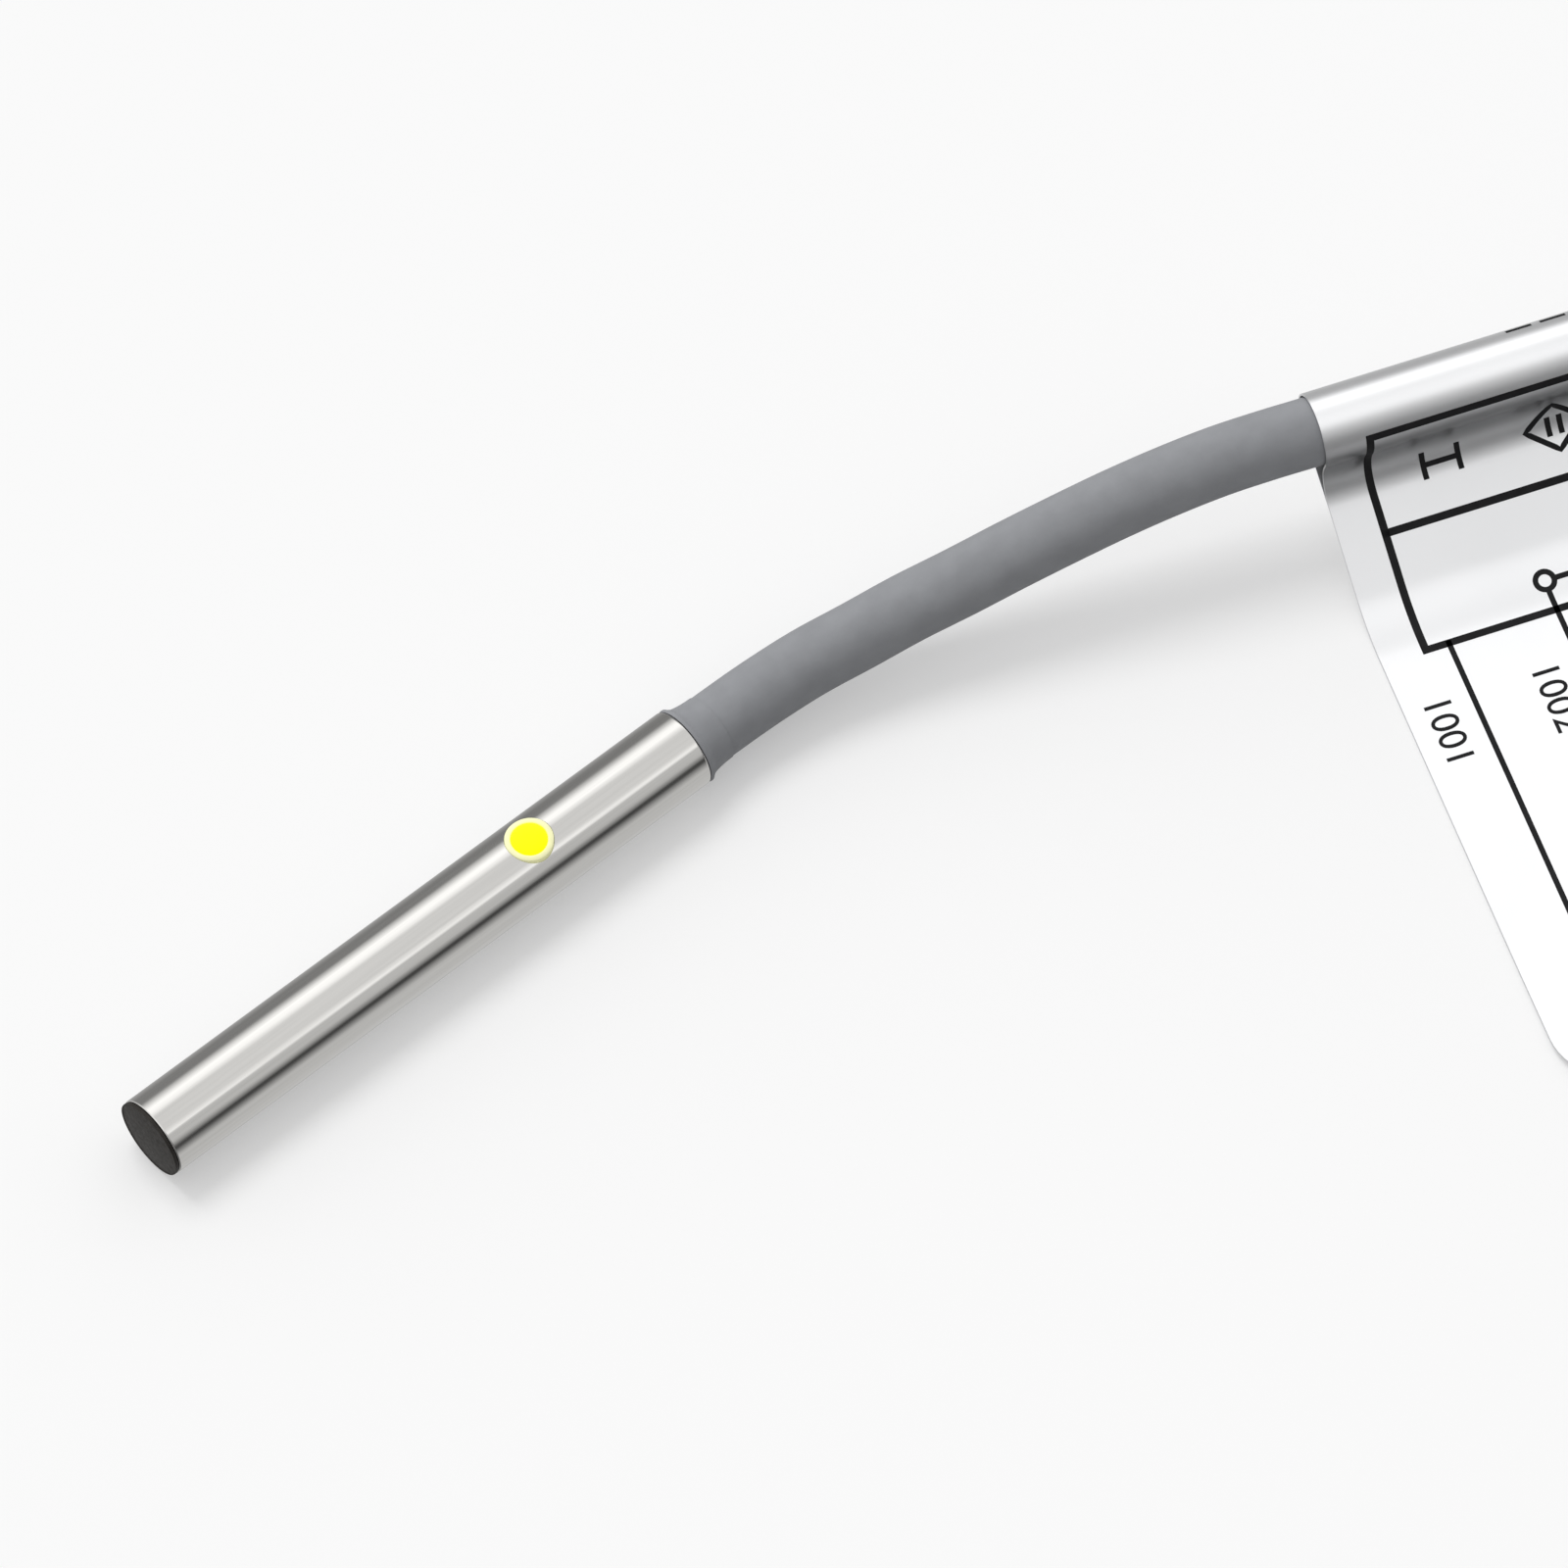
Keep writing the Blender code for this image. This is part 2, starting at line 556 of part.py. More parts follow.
def circuit_board():
    """Board that spans the bore, with its components on both faces."""
    length = BOARD_REAR - BOARD_FRONT
    block("circuit_board", (length, 2 * BOARD_HALF_WIDTH, BOARD_THICKNESS),
          (BOARD_FRONT + length / 2, 0, 0), look=BOARD_GREEN, edge=SOLDER_GAP)

    six = [(place_along * OSCILLATOR_PITCH, side) for place_along in (-1, 0, 1) for side in (-1, 1)]
    three = [(-TRIO_PITCH / 2, 1), (TRIO_PITCH / 2, 1), (0, -1)]
    support = BOARD_FRONT + SUPPORT_FROM_FRONT
    led_resistor = LED_PLACE - LED_RESISTOR_GAP - (LED_CHIP[0] + RESISTOR[0]) / 2
    legged("oscillator_chip", BOARD_FRONT + OSCILLATOR_FROM_FRONT, OSCILLATOR, CHIP_BLACK, six)
    ended("resonance_capacitor", BOARD_FRONT + TUNING_FROM_FRONT, TUNING_CAPACITOR, CERAMIC)
    ended("filter_capacitor", support, SMALL_CAPACITOR, CERAMIC, across=SUPPORT_SPREAD)
    ended("distance_resistor", support, RESISTOR, CHIP_BLACK, across=-SUPPORT_SPREAD)
    ended("bias_resistor", BOARD_FRONT + BIAS_FROM_FRONT, RESISTOR, CHIP_BLACK)
    ended("led_resistor", led_resistor, RESISTOR, CHIP_BLACK)
    ended("led_chip", LED_PLACE, LED_CHIP, PALE_LENS)
    legged("supply_regulator", BOARD_FRONT + OSCILLATOR_FROM_FRONT, REGULATOR, CHIP_BLACK, three,
           under=True)
    ended("supply_capacitor", BOARD_FRONT + SUPPLY_FROM_FRONT, LARGE_CAPACITOR, CERAMIC,
          under=True)
    legged("output_transistor", BOARD_REAR - TRANSISTOR_FROM_REAR, TRANSISTOR, CHIP_BLACK, three,
           under=True)
    ended("protection_diode", BOARD_REAR - DIODE_FROM_REAR, DIODE, CHIP_BLACK, under=True)


def conductors():
    """Three insulated wires from the jacket's end through the resin to the board."""
    places = {
        "wire_brown": (CONDUCTOR_SPREAD, 1, BROWN_VINYL),
        "wire_blue": (-CONDUCTOR_SPREAD, 1, BLUE_VINYL),
        "wire_black": (0, -1, BLACK_VINYL),
    }
    potting = turned("rear_potting", [
        (POTTING_REAR, 0), (POTTING_REAR, CAP_RADIUS), (POTTING_FRONT, CAP_RADIUS),
        (POTTING_FRONT, 0),
    ], look=RESIN, closed=False, steps=40)
    for name, (across, side, look) in places.items():
        height = side * CONDUCTOR_HEIGHT
        bore = cylinder(f"{name}_bore_cutter", CONDUCTOR_DIAMETER / 2 + FIT,
                        POTTING_FRONT - CUT_MARGIN, POTTING_REAR + CUT_MARGIN, SENSOR,
                        (0, across, height), axis="X", sides=24)
        combine(potting, bore, "DIFFERENCE")
        strip = BOARD_REAR - WIRE_OVERLAP
        tip_height = side * (BOARD_TOP + SOLDER_GAP + STRAND_DIAMETER / 2)
        route = [
            (JACKET_START - FACE_GAP, across, height), (strip, across, height),
            (strip - SOLDER_GAP, across, height),
            (strip - TIP_LENGTH / 2, across, (height + tip_height) / 2),
            (strip - TIP_LENGTH, across, tip_height),
        ]
        tube(name, route, CONDUCTOR_DIAMETER, SENSOR, look, resolution=3, thin=STRAND_DIAMETER,
             thin_from=2)


def indicator():
    """Yellow light pipe over the light on the board, in a pale ring that fills the hole."""
    skin = cylinder("indicator_skin_cutter", BARREL_RADIUS, 0, OBJECT_LENGTH, SENSOR, (0, 0, 0),
                    axis="X", sides=96)
    bottom = LED_TOP + SOLDER_GAP
    top = BARREL_RADIUS + CUT_MARGIN
    window = cylinder("led_window", WINDOW_RADIUS, bottom, top, SENSOR, (LED_PLACE, 0, 0),
                      look=AMBER, sides=40)
    combine(window, skin, "INTERSECT")

    low = BARREL_RADIUS - RING_DEPTH
    ring = turned("led_ring", [(top, RING_INNER), (top, RING_OUTER), (low, RING_OUTER),
                               (low, RING_INNER)], look=PALE_LENS, steps=40)
    ring.rotation_euler = (0, 0, 0)
    ring.location = (LED_PLACE, 0, 0)
    combine(ring, skin, "INTERSECT")


def beside(points, distance):
    """The points of a line moved a distance to its right."""
    moved = []
    for number, point in enumerate(points):
        ahead = points[min(number + 1, len(points) - 1)] - points[max(number - 1, 0)]
        moved.append(point + Vector((ahead.y, -ahead.x)).normalized() * distance)
    return moved


def touch_angle(point, radius):
    """Where a line from a point touches the underside of a circle about the origin."""
    return math.atan2(point.y, point.x) - math.acos(radius / point.length)


def label_section():
    """Outline and hole of the label across the cable, from the cable's centre. The upper film
    follows the cable down, turns outwards under it and slopes to the floor. The lower one comes
    round from the other side, and from the crease on the two lie together."""
    height = BARREL_RADIUS + LABEL_START[2]
    low = FLOOR_GAP + 2 * LABEL_FILM - height
    heading = 1.5 * math.pi - LABEL_SLOPE
    leave = Vector((math.cos(LABEL_LEAVES), math.sin(LABEL_LEAVES)))
    crease = arc(leave * (LABEL_OUTER + LABEL_CREASE), LABEL_CREASE, LABEL_LEAVES + math.pi,
                 heading, LABEL_CREASE_STEPS)
    landing_height = low + LABEL_LANDING * (1 - math.cos(LABEL_SLOPE))
    run = (crease[-1][1] - landing_height) / math.tan(LABEL_SLOPE)
    middle_x = crease[-1][0] + run + LABEL_LANDING * math.sin(LABEL_SLOPE)
    landing = arc((middle_x, low + LABEL_LANDING), LABEL_LANDING, heading, 1.5 * math.pi,
                  LABEL_LANDING_STEPS)
    upper = [Vector(point) for point in [*crease, *landing, (LABEL_REACH, low)]]
    middle = beside(upper, LABEL_FILM)
    lower = beside(upper, 2 * LABEL_FILM)[LABEL_CREASE_STEPS:]

    turn = touch_angle(lower[0], LABEL_OUTER) + TAU
    outline = arc((0, 0), LABEL_OUTER, LABEL_LEAVES, turn, 32)
    outline += [tuple(point) for point in lower + upper[:0:-1]]
    turn = touch_angle(middle[LABEL_CREASE_STEPS], LABEL_INNER) + TAU
    hole = arc((0, 0), LABEL_INNER, LABEL_LEAVES, turn, 24)
    hole += [tuple(point) for point in middle[LABEL_CREASE_STEPS:0:-1]]
    return outline, hole


def flag_label():
    """Silver film folded round the cable, its flag sloping to the floor, with rounded corners."""
    course = Vector((*LABEL_COURSE, 0)).normalized()
    across = Vector((course.y, -course.x, 0))
    frame = Matrix((across, Vector((0, 0, 1)), -course)).transposed().to_4x4()
    middle = Vector(LABEL_START) + course * LABEL_WIDTH / 2

    label = flat_outline("flag_label", label_section(), LABEL_WIDTH)
    label.matrix_world = Matrix.Translation(middle) @ frame
    place(label, EXIT, SILVER_FILM)

    half = LABEL_WIDTH / 2
    corner = LABEL_CORNER
    behind = -LABEL_OUTER - CUT_MARGIN
    plan = [(behind, -half - CUT_MARGIN), (behind, half + CUT_MARGIN),
            (LABEL_REACH / 2, half + CUT_MARGIN), (LABEL_REACH / 2, half)]
    plan += arc((LABEL_REACH - corner, half - corner), corner, math.pi / 2, 0, 6)
    plan += arc((LABEL_REACH - corner, corner - half), corner, 0, -math.pi / 2, 6)
    plan += [(LABEL_REACH / 2, -half), (LABEL_REACH / 2, -half - CUT_MARGIN)]
    deep = 2 * (BARREL_RADIUS + LABEL_START[2] + CUT_MARGIN)
    cutter = flat_outline("label_corner_cutter", [plan], deep)
    cutter.matrix_world = Matrix.Translation(middle) @ Matrix(
        (across, course, Vector((0, 0, 1)))).transposed().to_4x4()
    place(cutter, EXIT)
    combine(label, cutter, "INTERSECT")


def coil_frame():
    """The coil's centre on the floor, the end of the run being a tangent to its outer turn."""
    end = Vector(RUN_ROUTE[-1]) * MM
    before = Vector(RUN_ROUTE[-2]) * MM
    course = (end - before).xy.normalized()
    inwards = Vector((course.y, -course.x))
    centre = end.xy + inwards * OUTER_TURN
    return frame_empty("coil_centre", (EXIT.location.x + centre.x, centre.y, 0))


def cable(centre):
    """Plain tubes for the stretches of cable that aren't coiled, and a ring for the coil."""
    points = [Vector(point) * MM for point in RUN_ROUTE]
    coil_middle = Vector((centre.location.x, centre.location.y)) - EXIT.location.xy
    clear = COIL_OUTER + JACKET_DIAMETER / 2 + RING_GAP
    route = smooth_route([Vector((-JACKET_INSERT, 0, 0)), *points], ROUTE_STEP)
    tube("cable_run", outside_ring(route, coil_middle, clear), JACKET_DIAMETER, EXIT, GREY_VINYL)

    edge = JACKET_DIAMETER / 2
    low, high = COIL_BASE, COIL_BASE + COIL_HEIGHT
    quarter = math.pi / 2
    profile = [(z, r) for r, z in (
        arc((COIL_INNER + edge, high - edge), edge, 2 * quarter, quarter, 3)
        + arc((COIL_OUTER - edge, high - edge), edge, quarter, 0, 3)
        + arc((COIL_OUTER - edge, low + edge), edge, 0, -quarter, 3)
        + arc((COIL_INNER + edge, low + edge), edge, -quarter, -2 * quarter, 3))]
    ring = turned("cable_coil", profile, parent=centre, look=GREY_VINYL, steps=48)
    ring.rotation_euler = (0, 0, 0)

    tail = []
    for angle, beyond, height in TAIL_ROUTE:
        turn = TAIL_LEAVES + math.radians(angle)
        radius = OUTER_TURN + beyond * MM
        tail.append(Vector((radius * math.cos(turn), radius * math.sin(turn), height * MM)))
    route = outside_ring(smooth_route(tail, ROUTE_STEP), Vector((0, 0)), clear)
    tube("cable_tail", route, JACKET_DIAMETER, centre, GREY_VINYL)
    return tail


def loose_leads(centre, tail):
    """Three leads that fan out on the floor from the end of the jacket, their ends bare."""
    end, before = tail[-1], tail[-2]
    course = (end - before).xy.normalized()
    heading = math.atan2(course.y, course.x)
    jacket_end = frame_empty("jacket_end", centre.location + Vector((end.x, end.y, 0)), heading)
    for name, look in (("lead_brown", BROWN_VINYL), ("lead_black", BLACK_VINYL),
                       ("lead_blue", BLUE_VINYL)):
        points = [Vector(point) * MM for point in LEAD_ROUTES[name]]
        points = [point + Vector((FACE_GAP, 0, 0)) if number == 0 else point
                  for number, point in enumerate(points)]
        route = smooth_route(points, 2 * MM)
        length = 0.0
        strip = len(route) - 1
        while length < LEAD_BARE and strip > 1:
            length += (route[strip] - route[strip - 1]).length
            strip -= 1
        tube(name, route, CONDUCTOR_DIAMETER, jacket_end, look, thin=STRAND_DIAMETER,
             thin_from=strip)


def twist_tie(centre):
    """Flat black tie round the turns of the coil, its twisted ends lying on top."""
    bow = COIL_INNER - math.sqrt(COIL_INNER**2 - (TIE_WIDTH / 2) ** 2)
    outside = COIL_HALF_WIDTH + TIE_FIT
    inside = outside + bow
    low, high = COIL_BASE - TIE_FIT, COIL_BASE + COIL_HEIGHT + TIE_FIT

    def loop(grow):
        corner = JACKET_DIAMETER / 2 + grow
        right, left = outside + grow - corner, corner - inside - grow
        bottom, top = low - grow + corner, high + grow - corner
        quarter = math.pi / 2
        return (arc((right, top), corner, quarter, 0, 5)
                + arc((right, bottom), corner, 0, -quarter, 5)
                + arc((left, bottom), corner, -quarter, -2 * quarter, 5)
                + arc((left, top), corner, 2 * quarter, quarter, 5))

    tie = flat_outline("coil_tie", [loop(TIE_THICKNESS), loop(0)], TIE_WIDTH)
    radial = Vector((math.cos(TIE_BEARING), math.sin(TIE_BEARING), 0))
    sideways = radial.cross(Vector((0, 0, 1)))
    turn = Matrix((radial, Vector((0, 0, 1)), sideways)).transposed().to_4x4()
    middle = centre.location + radial * COIL_MEAN_DIAMETER / 2
    tie.matrix_world = Matrix.Translation(middle) @ turn
    place(tie, None, BLACK_PLASTIC)

    def bar(shape):
        size = (TIE_STEM, TIE_STEM_WIDTH, TIE_STEM_THICKNESS)
        bmesh.ops.create_cube(shape, size=1, matrix=Matrix.Diagonal((*size, 1)))
        long_edges = [edge for edge in shape.edges
                      if abs(edge.verts[0].co.x - edge.verts[1].co.x) > TIE_STEM / 2]
        bmesh.ops.subdivide_edges(shape, edges=long_edges, cuts=TIE_STEM_CUTS)
        for vertex in shape.verts:
            twist = TIE_TWIST * (vertex.co.x / TIE_STEM + 0.5)
            vertex.co = Matrix.Rotation(twist, 3, "X") @ vertex.co

    stem = mesh_object("tie_stem_cutter", bar)
    rise = (high + TIE_THICKNESS + TIE_STEM_WIDTH / 2 - TIE_STEM_SINK)
    stem.matrix_world = (Matrix.Translation(middle + Vector((0, 0, rise)))
                         @ Matrix.Rotation(TIE_BEARING + math.pi / 2, 4, "Z")
                         @ Matrix.Translation((TIE_STEM / 2 - TIE_WIDTH / 4, 0, 0)))
    place(stem, None)
    combine(tie, stem, "UNION")


sensing_cap()
barrel()
rear_seal()
coil_system()
circuit_board()
conductors()
indicator()
flag_label()
COIL = coil_frame()
TAIL = cable(COIL)
loose_leads(COIL, TAIL)
twist_tie(COIL)
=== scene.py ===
"""Looks of the slim inductive proximity sensor: polished steel, black and grey plastic, the whole
cable with its flag label, coil and loose leads, on a plain pale floor in soft light."""

import json
import math

import bmesh
import bpy
from mathutils import Matrix, Vector


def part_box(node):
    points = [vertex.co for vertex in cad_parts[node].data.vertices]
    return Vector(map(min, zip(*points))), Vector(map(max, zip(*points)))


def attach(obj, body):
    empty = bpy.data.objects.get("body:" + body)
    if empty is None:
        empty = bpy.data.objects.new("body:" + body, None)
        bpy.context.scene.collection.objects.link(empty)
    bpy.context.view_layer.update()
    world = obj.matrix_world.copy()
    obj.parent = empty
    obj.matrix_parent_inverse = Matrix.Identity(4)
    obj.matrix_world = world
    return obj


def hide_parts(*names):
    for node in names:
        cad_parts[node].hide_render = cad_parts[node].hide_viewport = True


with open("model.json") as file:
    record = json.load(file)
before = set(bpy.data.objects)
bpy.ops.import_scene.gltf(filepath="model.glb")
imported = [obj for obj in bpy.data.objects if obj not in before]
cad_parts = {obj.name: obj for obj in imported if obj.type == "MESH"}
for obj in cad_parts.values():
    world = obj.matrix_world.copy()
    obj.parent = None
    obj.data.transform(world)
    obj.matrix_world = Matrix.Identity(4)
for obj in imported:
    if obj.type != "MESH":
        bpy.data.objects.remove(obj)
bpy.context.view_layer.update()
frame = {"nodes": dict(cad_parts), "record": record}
NODES = frame["nodes"]

MM = 0.001
TAU = 2 * math.pi
FINE_SIDES = 192
TINY = 1e-9  # a length below this counts as none

# Picture: where the camera looks from and how much of the object fills the frame
CAMERA_AZIMUTH = math.radians(-40.5)
CAMERA_ELEVATION = math.radians(59.5)
CAMERA_DISTANCE = 0.7
CAMERA_LENS = 348.0
CAMERA_SENSOR = 36.0
PICTURE_CENTRE = Vector((17.45, -4.49, 2.0)) * MM

# Light: a fill that is brighter from behind, a soft key, and what gloss and glass see round them
FILL_LEVEL = 0.72
FILL_BEHIND = 0.4  # how much brighter or darker it is at the horizon behind or before the object
BACKGROUND_LEVEL = 0.97
KEY_STRENGTH = 1.2
KEY_WIDTH = math.radians(26)
KEY_TOWARDS = Vector((0.05, 0.5, 0.87))
FLOOR_SIDE = 3.0
FLOOR_TONE = 0.9
FLOOR_BOUNCE = 0.62  # its tone in the light that it throws back
FLOOR_GLOW = 0.35  # share of it that shows as plain backdrop, which keeps the shadows soft
GLOSS_STRENGTH = 1.3
GLOSS_ENDS = 0.62  # level towards the object's two ends
ENDS_START = (0.78, 0.95)  # X of a direction, either way, over which that takes over
BARREL_START = (0.18, 0.28)  # X over which the barrel's lights take over from the flag's
# Panels and gaps that gloss sees, as (from, to, level). Degrees run from the horizon behind the
# object, up over the top, to the horizon before it and on below it, and neighbours blend.
BARREL_LIGHTS = [
    (-90, -60, 0.4),  # dim room below and behind
    (-10, 18, 0.2),  # gap behind
    (46, 58, 1.1),  # soft box behind
    (75, 117, 0.65),  # panel overhead
    (129, 131, 0.95),  # strip light
    (136, 156, 0.5),  # panel before
    (173, 178, 0.05),  # gap before
    (203, 269, 0.5),  # table
]
FLAG_LIGHTS = [
    (-90, 0, 0.45),  # dim room
    (40, 115, 0.83),  # panel overhead
    (134, 136, 0.4),  # its soft edge
    (165, 245, 0.14),  # gap before and below
    (268, 269, 0.3),  # table
]

LENS_RISE = 0.32 * MM  # indicator's lens above its ring
RING_RISE = 0.05 * MM
CROWN_DEPTH = 0.6 * MM  # how far the lens and ring reach down into the barrel
CROWN_FOLLOWS = 0.35  # share of the barrel's roundness that the lens and ring keep

# Cable
JACKET_DIAMETER = 3.3 * MM
JACKET_INSERT = 2.5 * MM
ROUTE_STEP = 1.0 * MM
COIL_MEAN_DIAMETER = 39.6 * MM
COIL_LAYERS = 4
COIL_COLUMNS = 4
COIL_TURNS = 15.2
COIL_POINTS_PER_TURN = 30
COIL_CHANGE = (0.78, 0.97)  # part of a turn in which the cable moves over to the next place
COIL_BULGE = 0.37 * JACKET_DIAMETER  # how far it swings out where it climbs to the next layer
COIL_LIFT = 0.55 * MM  # lowest turns above the floor

# Cable from the barrel's rear end to the coil, from that end, in millimetres
RUN_ROUTE = [
    (0.0, 0.0, 0.0), (2.2, 0.0, 0.0), (4.6, -0.1, 0.1), (7.2, -0.4, 0.35), (9.75, -0.95, 0.7),
    (12.3, -1.55, 1.2), (14.85, -2.3, 1.75), (17.4, -3.0, 2.3), (19.95, -3.75, 2.85),
    (22.5, -4.55, 3.4), (24.95, -5.35, 3.8), (27.35, -6.2, 4.1), (29.65, -7.1, 4.25),
    (31.65, -7.9, 4.3), (37.25, -10.0, 4.3), (42.85, -12.1, 4.3), (48.45, -14.2, 4.3),
    (54.05, -16.3, 4.3), (59.65, -18.4, 3.9), (65.25, -20.5, 2.75), (70.85, -22.6, 1.45),
    (76.45, -24.7, 0.5), (82.05, -26.8, 0.2),
]
# Cable's last stretch: degrees about the coil, distance beyond its outer turn, height
TAIL_ROUTE = [
    (0, 0.0, 12.1), (-8, 0.5, 12.0), (-17, 1.8, 11.2), (-26, 3.3, 9.6), (-35, 4.2, 7.4),
    (-44, 4.5, 5.0), (-53, 4.5, 3.0), (-61, 4.6, 1.9), (-69, 5.0, 1.7), (-76, 5.6, 1.7),
]
TAIL_LEAVES = math.radians(-2.5)

# Leads: route ahead of the jacket's end, to its left and above the floor, in millimetres
LEAD_DIAMETER = 0.8 * MM
LEAD_BARE = 5.0 * MM
LEAD_STEP = 0.25 * MM
OUTER_STRANDS = 6  # round one in the middle
STRAND_DIAMETER = 0.125 * MM
STRAND_TWIST = TAU / (2.6 * MM)
STRANDS_OPEN = 0.6  # share of the bare end from which they spread
STRANDS_SPREAD = 0.35
LEAD_ROUTES = {
    "brown": [(0.0, 0.55, 1.4), (3.0, 0.9, 0.9), (7.0, 2.4, 0.5), (13.0, 5.6, 0.45),
              (20.0, 9.4, 0.45), (26.0, 12.0, 0.45), (31.0, 13.6, 0.45)],
    "black": [(0.0, 0.0, 0.55), (4.0, 0.1, 0.45), (10.0, 0.4, 0.45), (16.0, 1.4, 0.45),
              (22.0, 3.0, 0.45), (27.0, 4.7, 0.45), (32.0, 6.4, 0.45)],
    "blue": [(0.0, -0.55, 1.4), (3.0, -1.0, 0.9), (7.0, -2.2, 0.5), (13.0, -3.8, 0.45),
             (20.0, -4.6, 0.45), (26.0, -4.4, 0.45), (31.0, -3.6, 0.45)],
}

# Flag label: the film's course is worked out in the plane across the cable
LABEL_START = Vector((31.65, -7.9, 4.3)) * MM  # from the barrel's rear end
LABEL_COURSE = Vector((8.0, -3.0, 0.0)).normalized()
LABEL_WIDTH = 25.0 * MM
LABEL_REACH = 34.0 * MM
LABEL_FILM = 0.1 * MM
LABEL_FIT = 0.08 * MM
LABEL_CORNER = 3.0 * MM
LABEL_LEAVES = math.radians(-22)  # a softer fold than the solid's, by 0.3 mm at most
LABEL_CREASE = 1.9 * MM
FOLD_SHADE = 0.66  # how much painted shade darkens the film inside its fold
# near-black colour of the painted shade inside the film's fold
FOLD_SHADE_COLOUR = (0.05, 0.05, 0.055)
FOLD_OUT = (0.6 * MM, 1.4 * MM)  # distances out from the cable's centre over which that begins
FOLD_TOP = (-0.1 * MM, 1.3 * MM)  # heights from that centre over which it sets in from above
FOLD_FOOT = (-2.9 * MM, -1.2 * MM)  # and over which it ends below
LABEL_SLOPE = math.radians(30)
LABEL_LANDING = 6.0 * MM
LABEL_CURL = 0.22 * MM  # rise of the flag's loose end
LABEL_RESTS = 12.0 * MM  # from here on the flag lies on the floor
LABEL_OUTER = JACKET_DIAMETER / 2 + LABEL_FIT + LABEL_FILM
FLOOR_GAP = 0.05 * MM
CREASE_STEPS = 16
WRAP_STEPS = 60
SLOPE_STEPS = 16
FLAT_STEPS = 24
CORNER_STEPS = 12
LABEL_COLUMNS = 30

# Label print: distances out from the cable's centre, and places along from the label's edge
PRINT_STARTS = math.radians(150)  # on the cable's far side, from level towards the flag
INK_RISE = 0.012 * MM
LINE_THICK = 0.38 * MM
LINE_THIN = 0.27 * MM
FRAME_TURN = math.radians(23)  # round the cable from where the print may start
FRAME_MARGIN = 2.2 * MM
DIVIDER_OUT = 4.13 * MM
FRAME_OUT = 9.55 * MM
LEAD_COUNT = 3
LEAD_LINES = 3.35 * MM
LEAD_PITCH = 5.4 * MM
LEAD_OUT = 27.0 * MM
TERMINAL_RADIUS = 0.55 * MM
SIGNS_OUT = 1.95 * MM
BAR_ENDS = (4.85 * MM, 6.6 * MM)
BAR_STROKE = 0.55 * MM  # half of the strokes across the bar's ends
DIAMOND_PLACE = 11.4 * MM
DIAMOND_HALF = (1.45 * MM, 1.2 * MM)  # along and out
DIAMOND_STROKE = (0.3 * MM, 0.35 * MM)  # each stroke's place beside the middle, and half of it
JOINT_OUT = 8.0 * MM
JOINT_RADIUS = 0.45 * MM
DIGIT_SIZE = 1.95 * MM
DIGITS_OUT = 14.0 * MM
DIGITS_BESIDE = 1.8 * MM  # from their lead line
DASHES = 6
DASH_TURN = math.radians(132)
DASH_FIRST = 10.2 * MM
DASH_PITCH = 1.7 * MM
DASH_LENGTH = 1.0 * MM

# Twist tie
TIE_THICKNESS = 0.4 * MM
TIE_WIDTH = 4.0 * MM
TIE_FIT = 0.1 * MM
TIE_BEARING = math.radians(190)
TIE_STEM = 12.0 * MM
TIE_STEM_WIDTH = 1.9 * MM
TIE_TWIST = math.radians(990)
TIE_RIM = 0.12 * MM
TIE_FOOT = 0.02 * MM  # the band's inner side, out from its loop
TIE_WIRE = 0.5 * MM  # half of the swelling over the wire
STEM_STEPS = 90
STEM_SIDES = 16
STEM_FLARES = 0.85  # share of its length from which the two ends part

barrel_low, barrel_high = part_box("barrel")
cap_low, cap_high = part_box("sensing_cap")
seal_low, seal_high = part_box("cable_seal")
lens_low, lens_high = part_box("led_window")
ring_low, ring_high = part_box("led_ring")
AXIS_HEIGHT = (barrel_low.z + barrel_high.z) / 2
BARREL_RADIUS = (barrel_high.z - barrel_low.z) / 2
BARREL_BORE = JACKET_DIAMETER / 2 + 0.05 * MM
EXIT = Vector((barrel_high.x, 0, AXIS_HEIGHT))
LABEL_FLAG = Vector((LABEL_COURSE.y, -LABEL_COURSE.x, 0))  # direction from the cable to the flag
LABEL_LOW = FLOOR_GAP + 2 * LABEL_FILM - EXIT.z - LABEL_START.z  # of the flag's upper side
LED_X = (lens_low.x + lens_high.x) / 2
LENS_RADIUS = (lens_high.x - lens_low.x) / 2
RING_RADIUS = (ring_high.x - ring_low.x) / 2


def add_object(name, data):
    """A new object in the scene."""
    piece = bpy.data.objects.new(name, data)
    bpy.context.scene.collection.objects.link(piece)
    return piece


def mesh_piece(name, build, sharp=math.radians(40)):
    """A smooth shaded mesh object that build fills."""
    mesh = bpy.data.meshes.new(name)
    shape = bmesh.new()
    build(shape)
    bmesh.ops.recalc_face_normals(shape, faces=shape.faces)
    shape.to_mesh(mesh)
    shape.free()
    mesh.shade_smooth()
    mesh.set_sharp_from_angle(angle=sharp)
    return add_object(name, mesh)


def evaluated_mesh(piece):
    """The mesh that a piece's modifiers or curves make."""
    bpy.context.view_layer.update()
    graph = bpy.context.evaluated_depsgraph_get()
    return bpy.data.meshes.new_from_object(piece.evaluated_get(graph))


def dress(piece, material, slot, *nodes):
    """Gives a piece its material and its body, and hides the nodes that it stands for."""
    piece.data.materials.clear()
    piece.data.materials.append(material)
    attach(piece, "root")
    if nodes:
        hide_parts(*nodes)
    return piece


# Materials

MIX_COLOURS = (6, 7)  # a colour mix's two inputs by number, as their names are shared
MIX_RESULT = 2
NOISE_MIDDLE = (0.3, 0.7)
LEAD_TONES = {"brown": (0.20, 0.09, 0.04), "black": (0.02, 0.02, 0.02), "blue": (0.03, 0.12, 0.45)}


